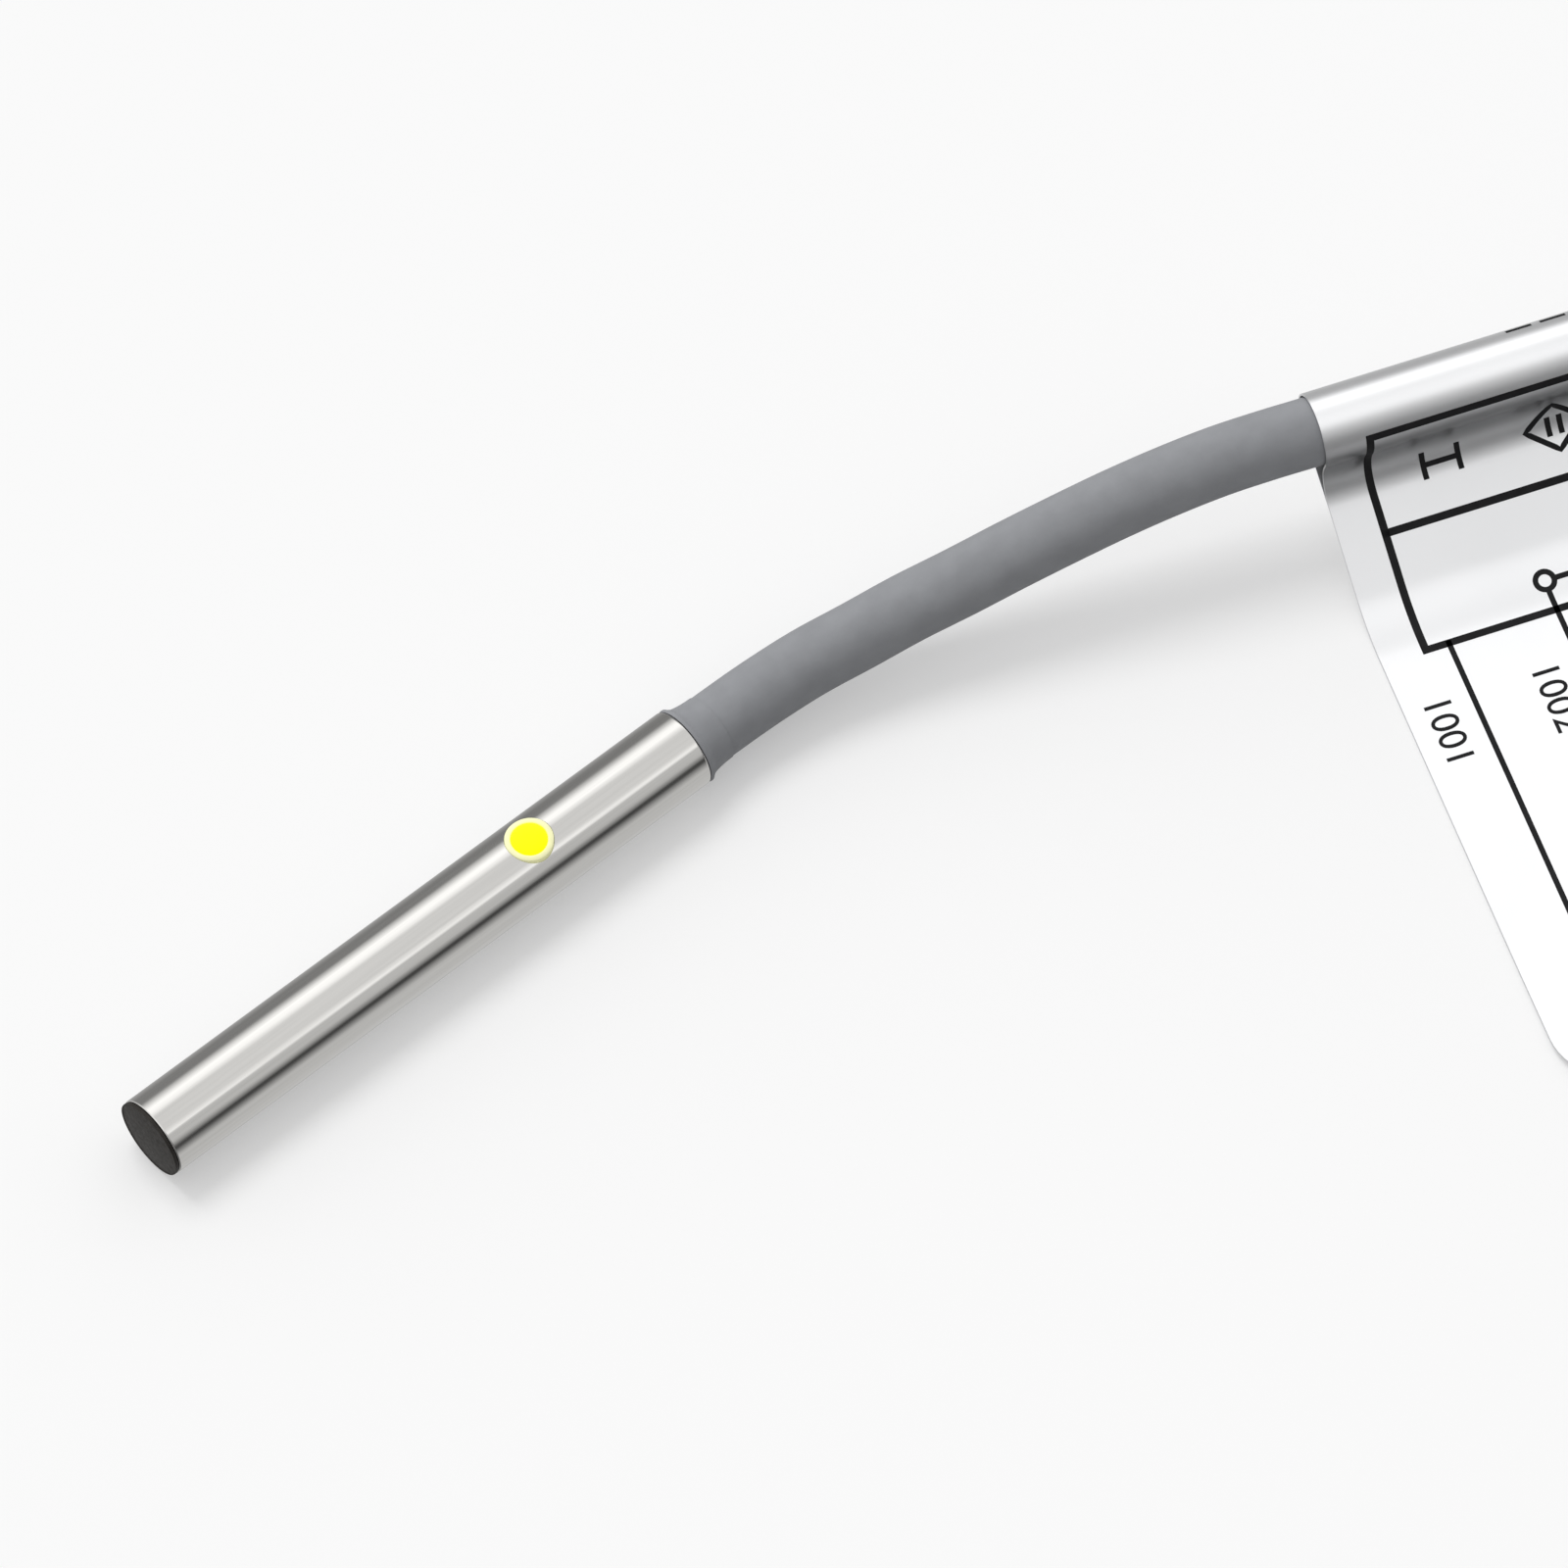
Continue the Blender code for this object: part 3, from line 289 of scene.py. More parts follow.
def feed(tree, socket, value):
    """Links an input to another node's output, or sets its value."""
    if isinstance(value, bpy.types.NodeSocket):
        tree.links.new(value, socket)
    else:
        socket.default_value = value


def node(tree, kind, **inputs):
    """A shader node with inputs set or linked, by name, or by number after a low line."""
    made = tree.nodes.new(kind)
    for name, value in inputs.items():
        feed(tree, made.inputs[int(name[1:]) if name[1:].isdigit() else name], value)
    return made


def maths(tree, operation, first, second=0.0):
    """The result of one sum."""
    made = tree.nodes.new("ShaderNodeMath")
    made.operation = operation
    for socket, value in zip(made.inputs, (first, second)):
        feed(tree, socket, value)
    return made.outputs[0]


def grain(tree, size, stretch=(1, 1, 1), detail=3.0):
    """Noise of a given size in metres, drawn out along an axis by a stretch."""
    place = node(tree, "ShaderNodeTexCoord").outputs["Object"]
    mapping = node(tree, "ShaderNodeMapping", Vector=place,
                   Scale=[1 / (size * part) for part in stretch])
    made = node(tree, "ShaderNodeTexNoise", Vector=mapping.outputs[0], Scale=1.0, Detail=detail)
    return made.outputs["Fac"]


def map_range(tree, value, span, result, kind="LINEAR"):
    """A value's span brought to another range."""
    made = node(tree, "ShaderNodeMapRange", Value=value)
    made.interpolation_type = kind
    for socket, edge in zip(("From Min", "From Max", "To Min", "To Max"), (*span, *result)):
        made.inputs[socket].default_value = edge
    return made.outputs[0]


def spread(tree, factor, low, high):
    """A noise value brought to a range, its middle part filling it."""
    return map_range(tree, factor, NOISE_MIDDLE, (low, high))


def smooth_step(tree, value, low, high):
    """0 below a range of values, 1 above it, and a soft step between."""
    return map_range(tree, value, (low, high), (0, 1), "SMOOTHSTEP")


def blend_colours(tree, factor, one, two):
    """A colour between two, by a factor."""
    made = tree.nodes.new("ShaderNodeMix")
    made.data_type = "RGBA"
    tree.links.new(factor, made.inputs["Factor"])
    for number, colour in zip(MIX_COLOURS, (one, two)):
        if isinstance(colour, bpy.types.NodeSocket):
            tree.links.new(colour, made.inputs[number])
        else:
            made.inputs[number].default_value = (*colour, 1)
    return made.outputs[MIX_RESULT]


def surface(name, colour, roughness, metallic=0.0, tint=0.06, patch=1.5 * MM, rough_spread=0.05,
            bump=0.004 * MM, bump_size=0.12 * MM, stretch=(1, 1, 1), specular=0.5):
    """A finish with a mottled colour, uneven gloss and a fine grain."""
    material = bpy.data.materials.new(name)
    material.use_nodes = True
    tree = material.node_tree
    shader = tree.nodes["Principled BSDF"]
    shader.inputs["Metallic"].default_value = metallic
    shader.inputs["Specular IOR Level"].default_value = specular
    darker = [part * (1 - tint) for part in colour]
    lighter = [min(1, part * (1 + tint)) for part in colour]
    patches = spread(tree, grain(tree, patch, stretch), 0, 1)
    tree.links.new(blend_colours(tree, patches, darker, lighter), shader.inputs["Base Color"])
    gloss = grain(tree, patch * 0.6, stretch, detail=5.0)
    tree.links.new(spread(tree, gloss, roughness - rough_spread, roughness + rough_spread),
                   shader.inputs["Roughness"])
    if bump:
        relief = node(tree, "ShaderNodeBump", Strength=1.0, Distance=bump,
                      Height=grain(tree, bump_size, stretch, detail=4.0))
        tree.links.new(relief.outputs[0], shader.inputs["Normal"])
    return material


def steel():
    """Drawn stainless tube, polished, with faint lines along its length."""
    return surface("polished_steel", (0.70, 0.69, 0.668), 0.11, metallic=1.0, tint=0.035,
                   patch=0.22 * MM, rough_spread=0.03, bump=0.0006 * MM, bump_size=0.09 * MM,
                   stretch=(60, 1, 1))


def lit_plastic(name, colour, glow, strength):
    """Clear coloured resin that the light inside makes glow."""
    material = surface(name, colour, 0.35, tint=0.04, patch=0.5 * MM, bump=0.002 * MM,
                       specular=0.05)
    shader = material.node_tree.nodes["Principled BSDF"]
    shader.inputs["Emission Color"].default_value = (*glow, 1)
    shader.inputs["Emission Strength"].default_value = strength
    return material


def film():
    """Silver polyester film, satin, with a faint cloudiness, and painted shade that darkens it
    inside its fold.
    """
    material = surface("silver_film", (0.93, 0.935, 0.945), 0.29, metallic=0.85, tint=0.012,
                       patch=6 * MM, rough_spread=0.01, bump=0)
    tree = material.node_tree
    base = tree.nodes["Principled BSDF"].inputs["Base Color"]
    centre = EXIT + LABEL_START
    place = node(tree, "ShaderNodeTexCoord").outputs["Object"]
    height = node(tree, "ShaderNodeSeparateXYZ", Vector=place).outputs[2]
    away = tree.nodes.new("ShaderNodeVectorMath")
    away.operation = "DOT_PRODUCT"
    tree.links.new(place, away.inputs[0])
    away.inputs[1].default_value = LABEL_FLAG
    near = LABEL_FLAG.dot(centre)
    # Painted shade: the film's colour is blended towards near black inside its fold, fixed by
    # place on the label
    shade = maths(tree, "MULTIPLY", FOLD_SHADE,
                  smooth_step(tree, away.outputs["Value"], near + FOLD_OUT[0], near + FOLD_OUT[1]))
    foot = smooth_step(tree, height, centre.z + FOLD_FOOT[0], centre.z + FOLD_FOOT[1])
    top = smooth_step(tree, height, centre.z + FOLD_TOP[0], centre.z + FOLD_TOP[1])
    inside = maths(tree, "MULTIPLY", foot, maths(tree, "SUBTRACT", 1.0, top))
    shade = maths(tree, "MULTIPLY", shade, inside)
    plain = base.links[0].from_socket
    tree.links.new(blend_colours(tree, shade, plain, FOLD_SHADE_COLOUR), base)
    return material


def vinyl():
    """Matt grey cable jacket with a powdery grain."""
    return surface("grey_vinyl", (0.262, 0.268, 0.283), 0.62, tint=0.05, patch=1.1 * MM,
                   rough_spread=0.08, bump=0.01 * MM, bump_size=0.16 * MM, specular=0.3)


def inner_finishes():
    """Finishes of the pieces inside the barrel, by the record's slots."""
    return {
        "ferrite": surface("ferrite_black", (0.10, 0.10, 0.11), 0.6, tint=0.15, patch=0.2 * MM,
                           bump=0.01 * MM, bump_size=0.05 * MM),
        "bobbin": surface("natural_plastic", (0.80, 0.76, 0.66), 0.5, patch=0.4 * MM),
        "enamelled_copper": surface("enamelled_wire", (0.80, 0.42, 0.24), 0.33, metallic=1.0,
                                    patch=0.1 * MM, bump=0.002 * MM),
        "board": surface("green_board", (0.03, 0.20, 0.08), 0.45, tint=0.12, patch=0.3 * MM),
        "chip_black": surface("moulded_black", (0.04, 0.04, 0.045), 0.45, patch=0.2 * MM),
        "chip_ceramic": surface("brown_ceramic", (0.48, 0.36, 0.25), 0.5, patch=0.2 * MM),
        "potting": surface("dark_resin", (0.12, 0.12, 0.12), 0.35, patch=0.6 * MM),
        **{f"{colour}_insulation": surface(f"{colour}_vinyl", tone, 0.45, patch=0.6 * MM)
           for colour, tone in LEAD_TONES.items()},
    }


# Shapes

def softened(corners, steps=5):
    """An outline whose corners, given with a radius each, are rounded."""
    points = []
    for number, (x, y, radius) in enumerate(corners):
        here = Vector((x, y))
        if not radius:
            points.append(here)
            continue
        before = Vector(corners[number - 1][:2])
        after = Vector(corners[(number + 1) % len(corners)][:2])
        start = here + (before - here).normalized() * radius
        end = here + (after - here).normalized() * radius
        for step in range(steps + 1):
            t = step / steps
            points.append((1 - t) ** 2 * start + 2 * t * (1 - t) * here + t**2 * end)
    return points


def join_loops(shape, rows):
    """Faces between neighbouring closed rows of corners, all with as many."""
    for one, two in zip(rows, rows[1:]):
        for corner in range(len(one)):
            following = (corner + 1) % len(one)
            shape.faces.new((one[corner], one[following], two[following], two[corner]))


def join_rings(shape, one, two, sides):
    """Faces between two rings of corners, either of which may be a single point."""
    for side in range(sides):
        corners = [ring[(side + step) % len(ring)] for ring, step in
                   ((one, 0), (two, 0), (two, 1), (one, 1))]
        shape.faces.new(list(dict.fromkeys(corners)))


def lathe(shape, outline, closed=False, sides=FINE_SIDES):
    """A turned skin about the barrel's axis from (x, radius) points."""
    rings = []
    for x, radius in outline:
        count = sides if radius > TINY else 1
        rings.append([shape.verts.new((x, radius * math.sin(TAU * side / sides),
                                       AXIS_HEIGHT + radius * math.cos(TAU * side / sides)))
                      for side in range(count)])
    pairs = list(zip(rings, rings[1:]))
    if closed:
        pairs.append((rings[-1], rings[0]))
    for one, two in pairs:
        join_rings(shape, one, two, sides)


def crown_point(x, y, lift=0.0):
    """A point on a crown that follows the barrel's skin only part of the way round."""
    fall = BARREL_RADIUS - math.sqrt(BARREL_RADIUS**2 - y**2)
    return Vector((x, y, AXIS_HEIGHT + BARREL_RADIUS - CROWN_FOLLOWS * fall + lift))


def crown(shape, rings, depth, sides=96):
    """A disc or ring let into the barrel's top: rings of (radius, lift), the outermost first."""
    loops = []
    for radius, lift in rings:
        count = sides if radius > TINY else 1
        loops.append([shape.verts.new(crown_point(LED_X + radius * math.cos(TAU * side / sides),
                                                  radius * math.sin(TAU * side / sides), lift))
                      for side in range(count)])
    edges = [loops[0]] + ([loops[-1]] if rings[-1][0] > TINY else [])
    sunk = [[shape.verts.new(corner.co - Vector((0, 0, depth))) for corner in loop]
            for loop in edges]
    strips = list(zip(loops, loops[1:])) + [(sunk[0], edges[0])]
    if len(sunk) > 1:
        strips += [(edges[1], sunk[1]), (sunk[1], sunk[0])]
    else:
        shape.faces.new(sunk[0])
    for one, two in strips:
        join_rings(shape, one, two, sides)


def smooth_route(points, spacing):
    """Points along a Catmull-Rom curve through the given points, about a spacing apart."""
    ends = [2 * points[0] - points[1], *points, 2 * points[-1] - points[-2]]
    route = []
    for before, start, end, after in zip(ends, ends[1:], ends[2:], ends[3:]):
        steps = max(1, round((end - start).length / spacing))
        for step in range(steps):
            t = step / steps
            route.append(0.5 * (2 * start + (end - before) * t
                                + (2 * before - 5 * start + 4 * end - after) * t**2
                                + (3 * start - before - 3 * end + after) * t**3))
    return route + [points[-1]]


def tube(name, routes, diameter, resolution):
    """Round cables or wires as a curve with closed ends."""
    curve = bpy.data.curves.new(name, "CURVE")
    curve.dimensions = "3D"
    curve.bevel_depth = diameter / 2
    curve.bevel_resolution = resolution
    curve.use_fill_caps = True
    for points in routes:
        spline = curve.splines.new("POLY")
        spline.points.add(len(points) - 1)
        for knot, point in zip(spline.points, points):
            knot.co = (*point, 1)
        spline.use_smooth = True
    return add_object(name, curve)


# Sensor

def cut_hole(piece, radius):
    """Cuts the indicator's hole into the barrel."""
    cutter = mesh_piece("hole", lambda shape: bmesh.ops.create_cone(
        shape, cap_ends=True, segments=96, radius1=radius, radius2=radius,
        depth=2 * BARREL_RADIUS, matrix=Matrix.Translation((LED_X, 0, AXIS_HEIGHT
                                                            + BARREL_RADIUS))))
    cut = piece.modifiers.new("hole", "BOOLEAN")
    cut.operation = "DIFFERENCE"
    cut.object = cutter
    cut.solver = "EXACT"
    piece.data = evaluated_mesh(piece)
    piece.modifiers.clear()
    bpy.data.objects.remove(cutter)


def true_round(mesh):
    """Exact normals on the barrel's outer skin, so that the cut hole doesn't disturb the gloss."""
    normals = [corner.vector.copy() for corner in mesh.corner_normals]
    for face in mesh.polygons:
        for loop in face.loop_indices:
            place = mesh.vertices[mesh.loops[loop].vertex_index].co
            out = Vector((0, place.y, place.z - AXIS_HEIGHT))
            if out.length > BARREL_RADIUS * 0.999 and face.normal.dot(out.normalized()) > 0.99:
                normals[loop] = out.normalized()
    mesh.normals_split_custom_set(normals)


def add_barrel():
    """Steel tube with rolled edges and the indicator's hole."""
    front, rear = barrel_low.x, barrel_high.x
    outline = softened([(front, BARREL_RADIUS, 0.07 * MM), (rear, BARREL_RADIUS, 0.12 * MM),
                        (rear, BARREL_BORE, 0.05 * MM), (front, BARREL_BORE, 0.05 * MM)])
    barrel = mesh_piece("steel_barrel", lambda shape: lathe(shape, outline, closed=True))
    cut_hole(barrel, RING_RADIUS + 0.02 * MM)
    barrel.data.shade_smooth()
    barrel.data.set_sharp_from_angle(angle=math.radians(40))
    true_round(barrel.data)
    return dress(barrel, steel(), "steel_barrel", "barrel")


def add_cap():
    """Black face of the sensor with its rounded rim, plugged into the barrel."""
    rim = (cap_high.z - cap_low.z) / 2
    face, flange, back = cap_low.x, barrel_low.x - 0.03 * MM, cap_high.x
    plug = BARREL_BORE - 0.04 * MM
    outline = [Vector((face, 0)), Vector((face, rim * 0.5))]
    outline += softened([(face, rim, 0.1 * MM), (flange, rim, 0.03 * MM), (flange, plug, 0),
                         (back, plug, 0), (back, 0, 0)])[:-1]
    outline.append(Vector((back, 0)))
    cap = mesh_piece("front_cap", lambda shape: lathe(shape, outline))
    look = surface("black_cap", (0.026, 0.023, 0.020), 0.5, tint=0.2, patch=0.35 * MM,
                   rough_spread=0.08, bump=0.012 * MM, bump_size=0.1 * MM, specular=0.2)
    return dress(cap, look, "black_cap", "sensing_cap")


def add_seal():
    """Grey seal that swells over the barrel's end and draws in to the cable."""
    start, end = seal_low.x, seal_high.x
    bore = JACKET_DIAMETER / 2 + 0.02 * MM
    outline = [Vector((start, bore)), Vector((start, BARREL_RADIUS - 0.03 * MM))]
    steps = 24
    shoulder = 0.16 * MM
    lip = bore + 0.01 * MM
    for step in range(steps + 1):
        t = step / steps
        fall = 1 - math.sqrt(max(0, 1 - (1 - t) ** 2))
        swell = 0.03 * MM * math.sin(math.pi * min(1, t * 6))
        outline.append(Vector((start + shoulder + (end - start - shoulder) * t,
                               lip + (BARREL_RADIUS - lip) * fall + swell)))
    outline.append(Vector((end, bore)))
    seal = mesh_piece("rear_seal", lambda shape: lathe(shape, outline, closed=True))
    return dress(seal, vinyl(), "grey_seal", "cable_seal")


def add_indicator():
    """Yellow lens that stands just proud of the barrel, in a pale ring."""
    rings = []
    steps = 10
    for step in range(steps + 1):
        share = 1 - step / steps
        rings.append((LENS_RADIUS * share, LENS_RISE * math.sqrt(1 - share**2)))
    lens = mesh_piece("indicator_lens", lambda shape: crown(shape, rings, CROWN_DEPTH))
    look = lit_plastic("yellow_lens", (0.9, 0.88, 0.01), (1.0, 1.0, 0.0), 0.5)
    dress(lens, look, "amber_window", "led_window")

    inner, outer = LENS_RADIUS + 0.015 * MM, RING_RADIUS
    middle, half = (inner + outer) / 2, (outer - inner) / 2
    rings = []
    for step in range(steps + 1):
        angle = math.pi * step / steps
        rings.append((middle + half * math.cos(angle), RING_RISE * math.sin(angle)))
    ring = mesh_piece("indicator_ring", lambda shape: crown(shape, rings, CROWN_DEPTH))
    look = lit_plastic("pale_resin", (0.80, 0.79, 0.50), (1.0, 1.0, 0.4), 0.15)
    dress(ring, look, "pale_ring", "led_ring")


# Cable

def coil_centre(run):
    """Centre of the coil, the end of the run being a tangent to its outer turn, that turn's
    radius and the direction from the centre to the run's end."""
    radius = COIL_MEAN_DIAMETER / 2 + (COIL_COLUMNS - 1) * JACKET_DIAMETER / 2
    course = (run[-1] - run[-2]).xy.normalized()
    inwards = Vector((course.y, -course.x))
    centre = run[-1].xy + inwards * radius
    return centre, radius, math.atan2(-inwards.y, -inwards.x)


def coil_place(slot, outer):
    """Radius and height of one of the coil's places, wound in and out layer by layer."""
    layer, column = divmod(slot, COIL_COLUMNS)
    if layer % 2:
        column = COIL_COLUMNS - 1 - column
    height = COIL_LIFT + JACKET_DIAMETER * (layer + 0.5)
    return outer - column * JACKET_DIAMETER, height


def coil_points(centre, outer, start):
    """The turns of the coil, clockwise from the end of the run."""
    last = COIL_LAYERS * COIL_COLUMNS - 1
    points = []
    for number in range(1, round(COIL_TURNS * COIL_POINTS_PER_TURN) + 1):
        turns = number / COIL_POINTS_PER_TURN
        slot = min(int(turns), last)
        radius, height = coil_place(slot, outer)
        share = (turns - slot - COIL_CHANGE[0]) / (COIL_CHANGE[1] - COIL_CHANGE[0])
        if slot < last and share > 0:
            share = min(share, 1)
            ease = share * share * (3 - 2 * share)
            next_radius, next_height = coil_place(slot + 1, outer)
            if next_radius == radius:
                swing = COIL_BULGE * math.sin(math.pi * share) ** 2
                radius += swing if slot % (2 * COIL_COLUMNS) >= COIL_COLUMNS else -swing
            else:
                radius += (next_radius - radius) * ease
            height += (next_height - height) * ease
        angle = start - TAU * turns
        points.append(Vector((centre.x + radius * math.cos(angle),
                              centre.y + radius * math.sin(angle), height)))
    return points


def cable_routes():
    """The run, the coil and the tail, and the coil's centre."""
    run = [EXIT + Vector(point) * MM for point in [(-JACKET_INSERT / MM, 0, 0), *RUN_ROUTE]]
    centre, outer, start = coil_centre(run)
    tail = []
    for degrees, beyond, height in TAIL_ROUTE:
        angle = TAIL_LEAVES + math.radians(degrees)
        radius = outer + beyond * MM
        tail.append(Vector((centre.x + radius * math.cos(angle),
                            centre.y + radius * math.sin(angle), height * MM)))
    coil = coil_points(centre, outer, start)
    return run, coil, tail, centre


def add_cable(run, coil, tail):
    """The cable from the seal to the end of its jacket."""
    route = (smooth_route(run, ROUTE_STEP / 2) + smooth_route(coil[:-1], ROUTE_STEP)
             + smooth_route(tail, ROUTE_STEP))
    cable = tube("cable", [route], JACKET_DIAMETER, 10)
    dress(cable, vinyl(), "grey_jacket", "cable_run", "cable_coil", "cable_tail")
    return cable, sum((b - a).length for a, b in zip(route, route[1:]))


def add_leads(tail, finishes):
    """Three insulated leads from the end of the jacket, their strands bare at the tips."""
    course = (tail[-1] - tail[-2]).xy.normalized()
    ahead, left = Vector((*course, 0)), Vector((-course.y, course.x, 0))
    origin = Vector((tail[-1].x, tail[-1].y, 0))
    tin = surface("tinned_copper", (0.78, 0.76, 0.72), 0.28, metallic=1.0, patch=0.2 * MM,
                  bump=0.001 * MM)
    pieces = []
    for colour, points in LEAD_ROUTES.items():
        places = [origin + (ahead * x + left * y + Vector((0, 0, z))) * MM for x, y, z in points]
        route = smooth_route(places, LEAD_STEP)
        bare = round(LEAD_BARE / LEAD_STEP)
        lead = tube(f"{colour}_lead", [route[:-bare]], LEAD_DIAMETER, 6)
        dress(lead, finishes[f"{colour}_insulation"], f"{colour}_insulation", f"lead_{colour}")

        strands = [[] for _ in range(OUTER_STRANDS + 1)]
        core = route[-bare - 4:]
        run_length = 0.0
        for number, point in enumerate(core):
            direction = (core[min(number + 1, len(core) - 1)] - core[max(number - 1, 0)])
            side = direction.normalized().cross(Vector((0, 0, 1))).normalized()
            up = side.cross(direction.normalized())
            run_length += direction.length / 2
            opens = len(core) * STRANDS_OPEN
            share = max(0, (number - opens) / (len(core) - opens))
            strands[0].append(point)
            for strand in range(OUTER_STRANDS):
                angle = TAU * strand / OUTER_STRANDS + STRAND_TWIST * run_length
                away = STRAND_DIAMETER * (1.0 + STRANDS_SPREAD * share * share)
                strands[strand + 1].append(point + side * away * math.cos(angle)
                                           + up * away * math.sin(angle))
        tip = tube(f"{colour}_strands", strands, STRAND_DIAMETER, 2)
        dress(tip, tin, "enamelled_copper")
        pieces += [lead, tip]
    return pieces


# Flag label

def beside(points, distance):
    """The points of a line moved a distance to its right."""
    moved = []
    for number, point in enumerate(points):
        ahead = points[min(number + 1, len(points) - 1)] - points[max(number - 1, 0)]
        moved.append(point + Vector((ahead.y, -ahead.x)).normalized() * distance)
    return moved


def arc(centre, radius, start, end, steps):
    """Points on an arc, both ends included."""
    points = []
    for step in range(steps + 1):
        angle = start + (end - start) * step / steps
        points.append(centre + Vector((math.cos(angle), math.sin(angle))) * radius)
    return points


def label_drop():
    """Outer side of the upper film across the cable, from where it leaves the cable to the flag's
    end. Distances are from the cable's centre, towards the flag and up."""
    heading = 1.5 * math.pi - LABEL_SLOPE
    leave = Vector((math.cos(LABEL_LEAVES), math.sin(LABEL_LEAVES)))
    crease = arc(leave * (LABEL_OUTER + LABEL_CREASE), LABEL_CREASE, LABEL_LEAVES + math.pi,
                 heading, CREASE_STEPS)
    down = (crease[-1].y - LABEL_LOW - LABEL_LANDING * (1 - math.cos(LABEL_SLOPE)))
    landing_x = (crease[-1].x + down / math.tan(LABEL_SLOPE)
                 + LABEL_LANDING * math.sin(LABEL_SLOPE))
    landing = arc(Vector((landing_x, LABEL_LOW + LABEL_LANDING)), LABEL_LANDING, heading,
                  1.5 * math.pi, SLOPE_STEPS)
    slope = [crease[-1].lerp(landing[0], step / SLOPE_STEPS) for step in range(1, SLOPE_STEPS)]
    drop = crease + slope + landing
    straight = LABEL_REACH - LABEL_CORNER - landing_x
    for step in range(1, FLAT_STEPS + 1):
        drop.append(Vector((landing_x + straight * step / FLAT_STEPS, LABEL_LOW)))
    for step in range(1, CORNER_STEPS + 1):
        turn = math.pi / 2 * step / CORNER_STEPS
        drop.append(Vector((LABEL_REACH - LABEL_CORNER * (1 - math.sin(turn)), LABEL_LOW)))
    return drop


def label_section():
    """The film's outer side all the way: from the upper film's end over the cable and back under
    it to the lower film's end."""
    upper = label_drop()
    lower = beside(upper, 2 * LABEL_FILM)[CREASE_STEPS:]
    meet = math.atan2(lower[0].y, lower[0].x) - math.acos(LABEL_OUTER / lower[0].length)
    wrap = arc(Vector((0, 0)), LABEL_OUTER, LABEL_LEAVES, meet + TAU, 90)
    bridge = [wrap[-1].lerp(lower[0], step / 10) for step in range(1, 10)]
    return upper[::-1] + wrap[1:] + bridge + lower


def label_settle(x, v):
    """How far the flag's film lifts off the floor: its loose end curls a little."""
    beyond = max(0.0, (x - LABEL_RESTS) / (LABEL_REACH - LABEL_RESTS))
    across = 2 * v / LABEL_WIDTH - 1
    ripple = 0.03 * MM * (1 + math.sin(0.42 * x / MM + 1.3 * math.sin(0.21 * v / MM)))
    return beyond * ripple + LABEL_CURL * beyond**3 * (0.55 + 0.45 * across**2)


def label_place(x, h, v):
    """A point in the world from its place across the cable, its height and its place along."""
    return (EXIT + LABEL_START + LABEL_FLAG * x + LABEL_COURSE * v
            + Vector((0, 0, h + label_settle(x, v))))


def label_half(x):
    """Half of the label's width, less at the flag's rounded corners."""
    past = max(0.0, x - (LABEL_REACH - LABEL_CORNER))
    return LABEL_WIDTH / 2 - LABEL_CORNER + math.sqrt(max(0, LABEL_CORNER**2 - past**2))


def add_label():
    """The folded film as one closed sheet."""
    outer = label_section()
    inner = beside(outer, -LABEL_FILM * 0.96)
    columns = LABEL_COLUMNS

    def sheet(shape):
        sides = []
        for line in (outer, inner):
            grid = []
            for edge, point in zip(outer, line):
                half = label_half(edge.x)
                grid.append([shape.verts.new(label_place(
                    point.x, point.y, LABEL_WIDTH / 2 + half * (2 * column / columns - 1)))
                    for column in range(columns + 1)])
            sides.append(grid)
        for grid in sides:
            for one, two in zip(grid, grid[1:]):
                for column in range(columns):
                    shape.faces.new((one[column], one[column + 1], two[column + 1], two[column]))
        top, under = sides
        for column in (0, columns):
            for row in range(len(outer) - 1):
                shape.faces.new((top[row][column], top[row + 1][column],
                                 under[row + 1][column], under[row][column]))
        for row in (0, len(outer) - 1):
            for column in range(columns):
                shape.faces.new((top[row][column], top[row][column + 1],
                                 under[row][column + 1], under[row][column]))

    label = mesh_piece("marking_flag", sheet, sharp=math.radians(50))
    return dress(label, film(), "silver_film", "flag_label")


class PrintPlan:
    """Places on the label's printed side: the running length round and down, and along."""

    def __init__(self):
        self.line = (arc(Vector((0, 0)), LABEL_OUTER, PRINT_STARTS, LABEL_LEAVES, WRAP_STEPS)
                     + label_drop()[1:])
        self.lengths = [0.0]
        for one, two in zip(self.line, self.line[1:]):
            self.lengths.append(self.lengths[-1] + (two - one).length)

    def at(self, s, v, lift=0.0):
        """The point at a running length and a place along, lifted off the film."""
        number = 0
        while number < len(self.lengths) - 2 and self.lengths[number + 1] < s:
            number += 1
        one, two = self.line[number], self.line[number + 1]
        share = (s - self.lengths[number]) / (self.lengths[number + 1] - self.lengths[number])
        point = one.lerp(two, share)
        ahead = (two - one).normalized()
        point += Vector((-ahead.y, ahead.x)) * lift
        return label_place(point.x, point.y, v)

    def length_at(self, x):
        """The running length where the sloping film is a distance out from the cable."""
        for number in range(WRAP_STEPS + CREASE_STEPS, len(self.line) - 1):
            if self.line[number + 1].x >= x:
                one, two = self.line[number], self.line[number + 1]
                return (self.lengths[number] + (x - one.x) / (two.x - one.x)
                        * (self.lengths[number + 1] - self.lengths[number]))
        return self.lengths[-1]


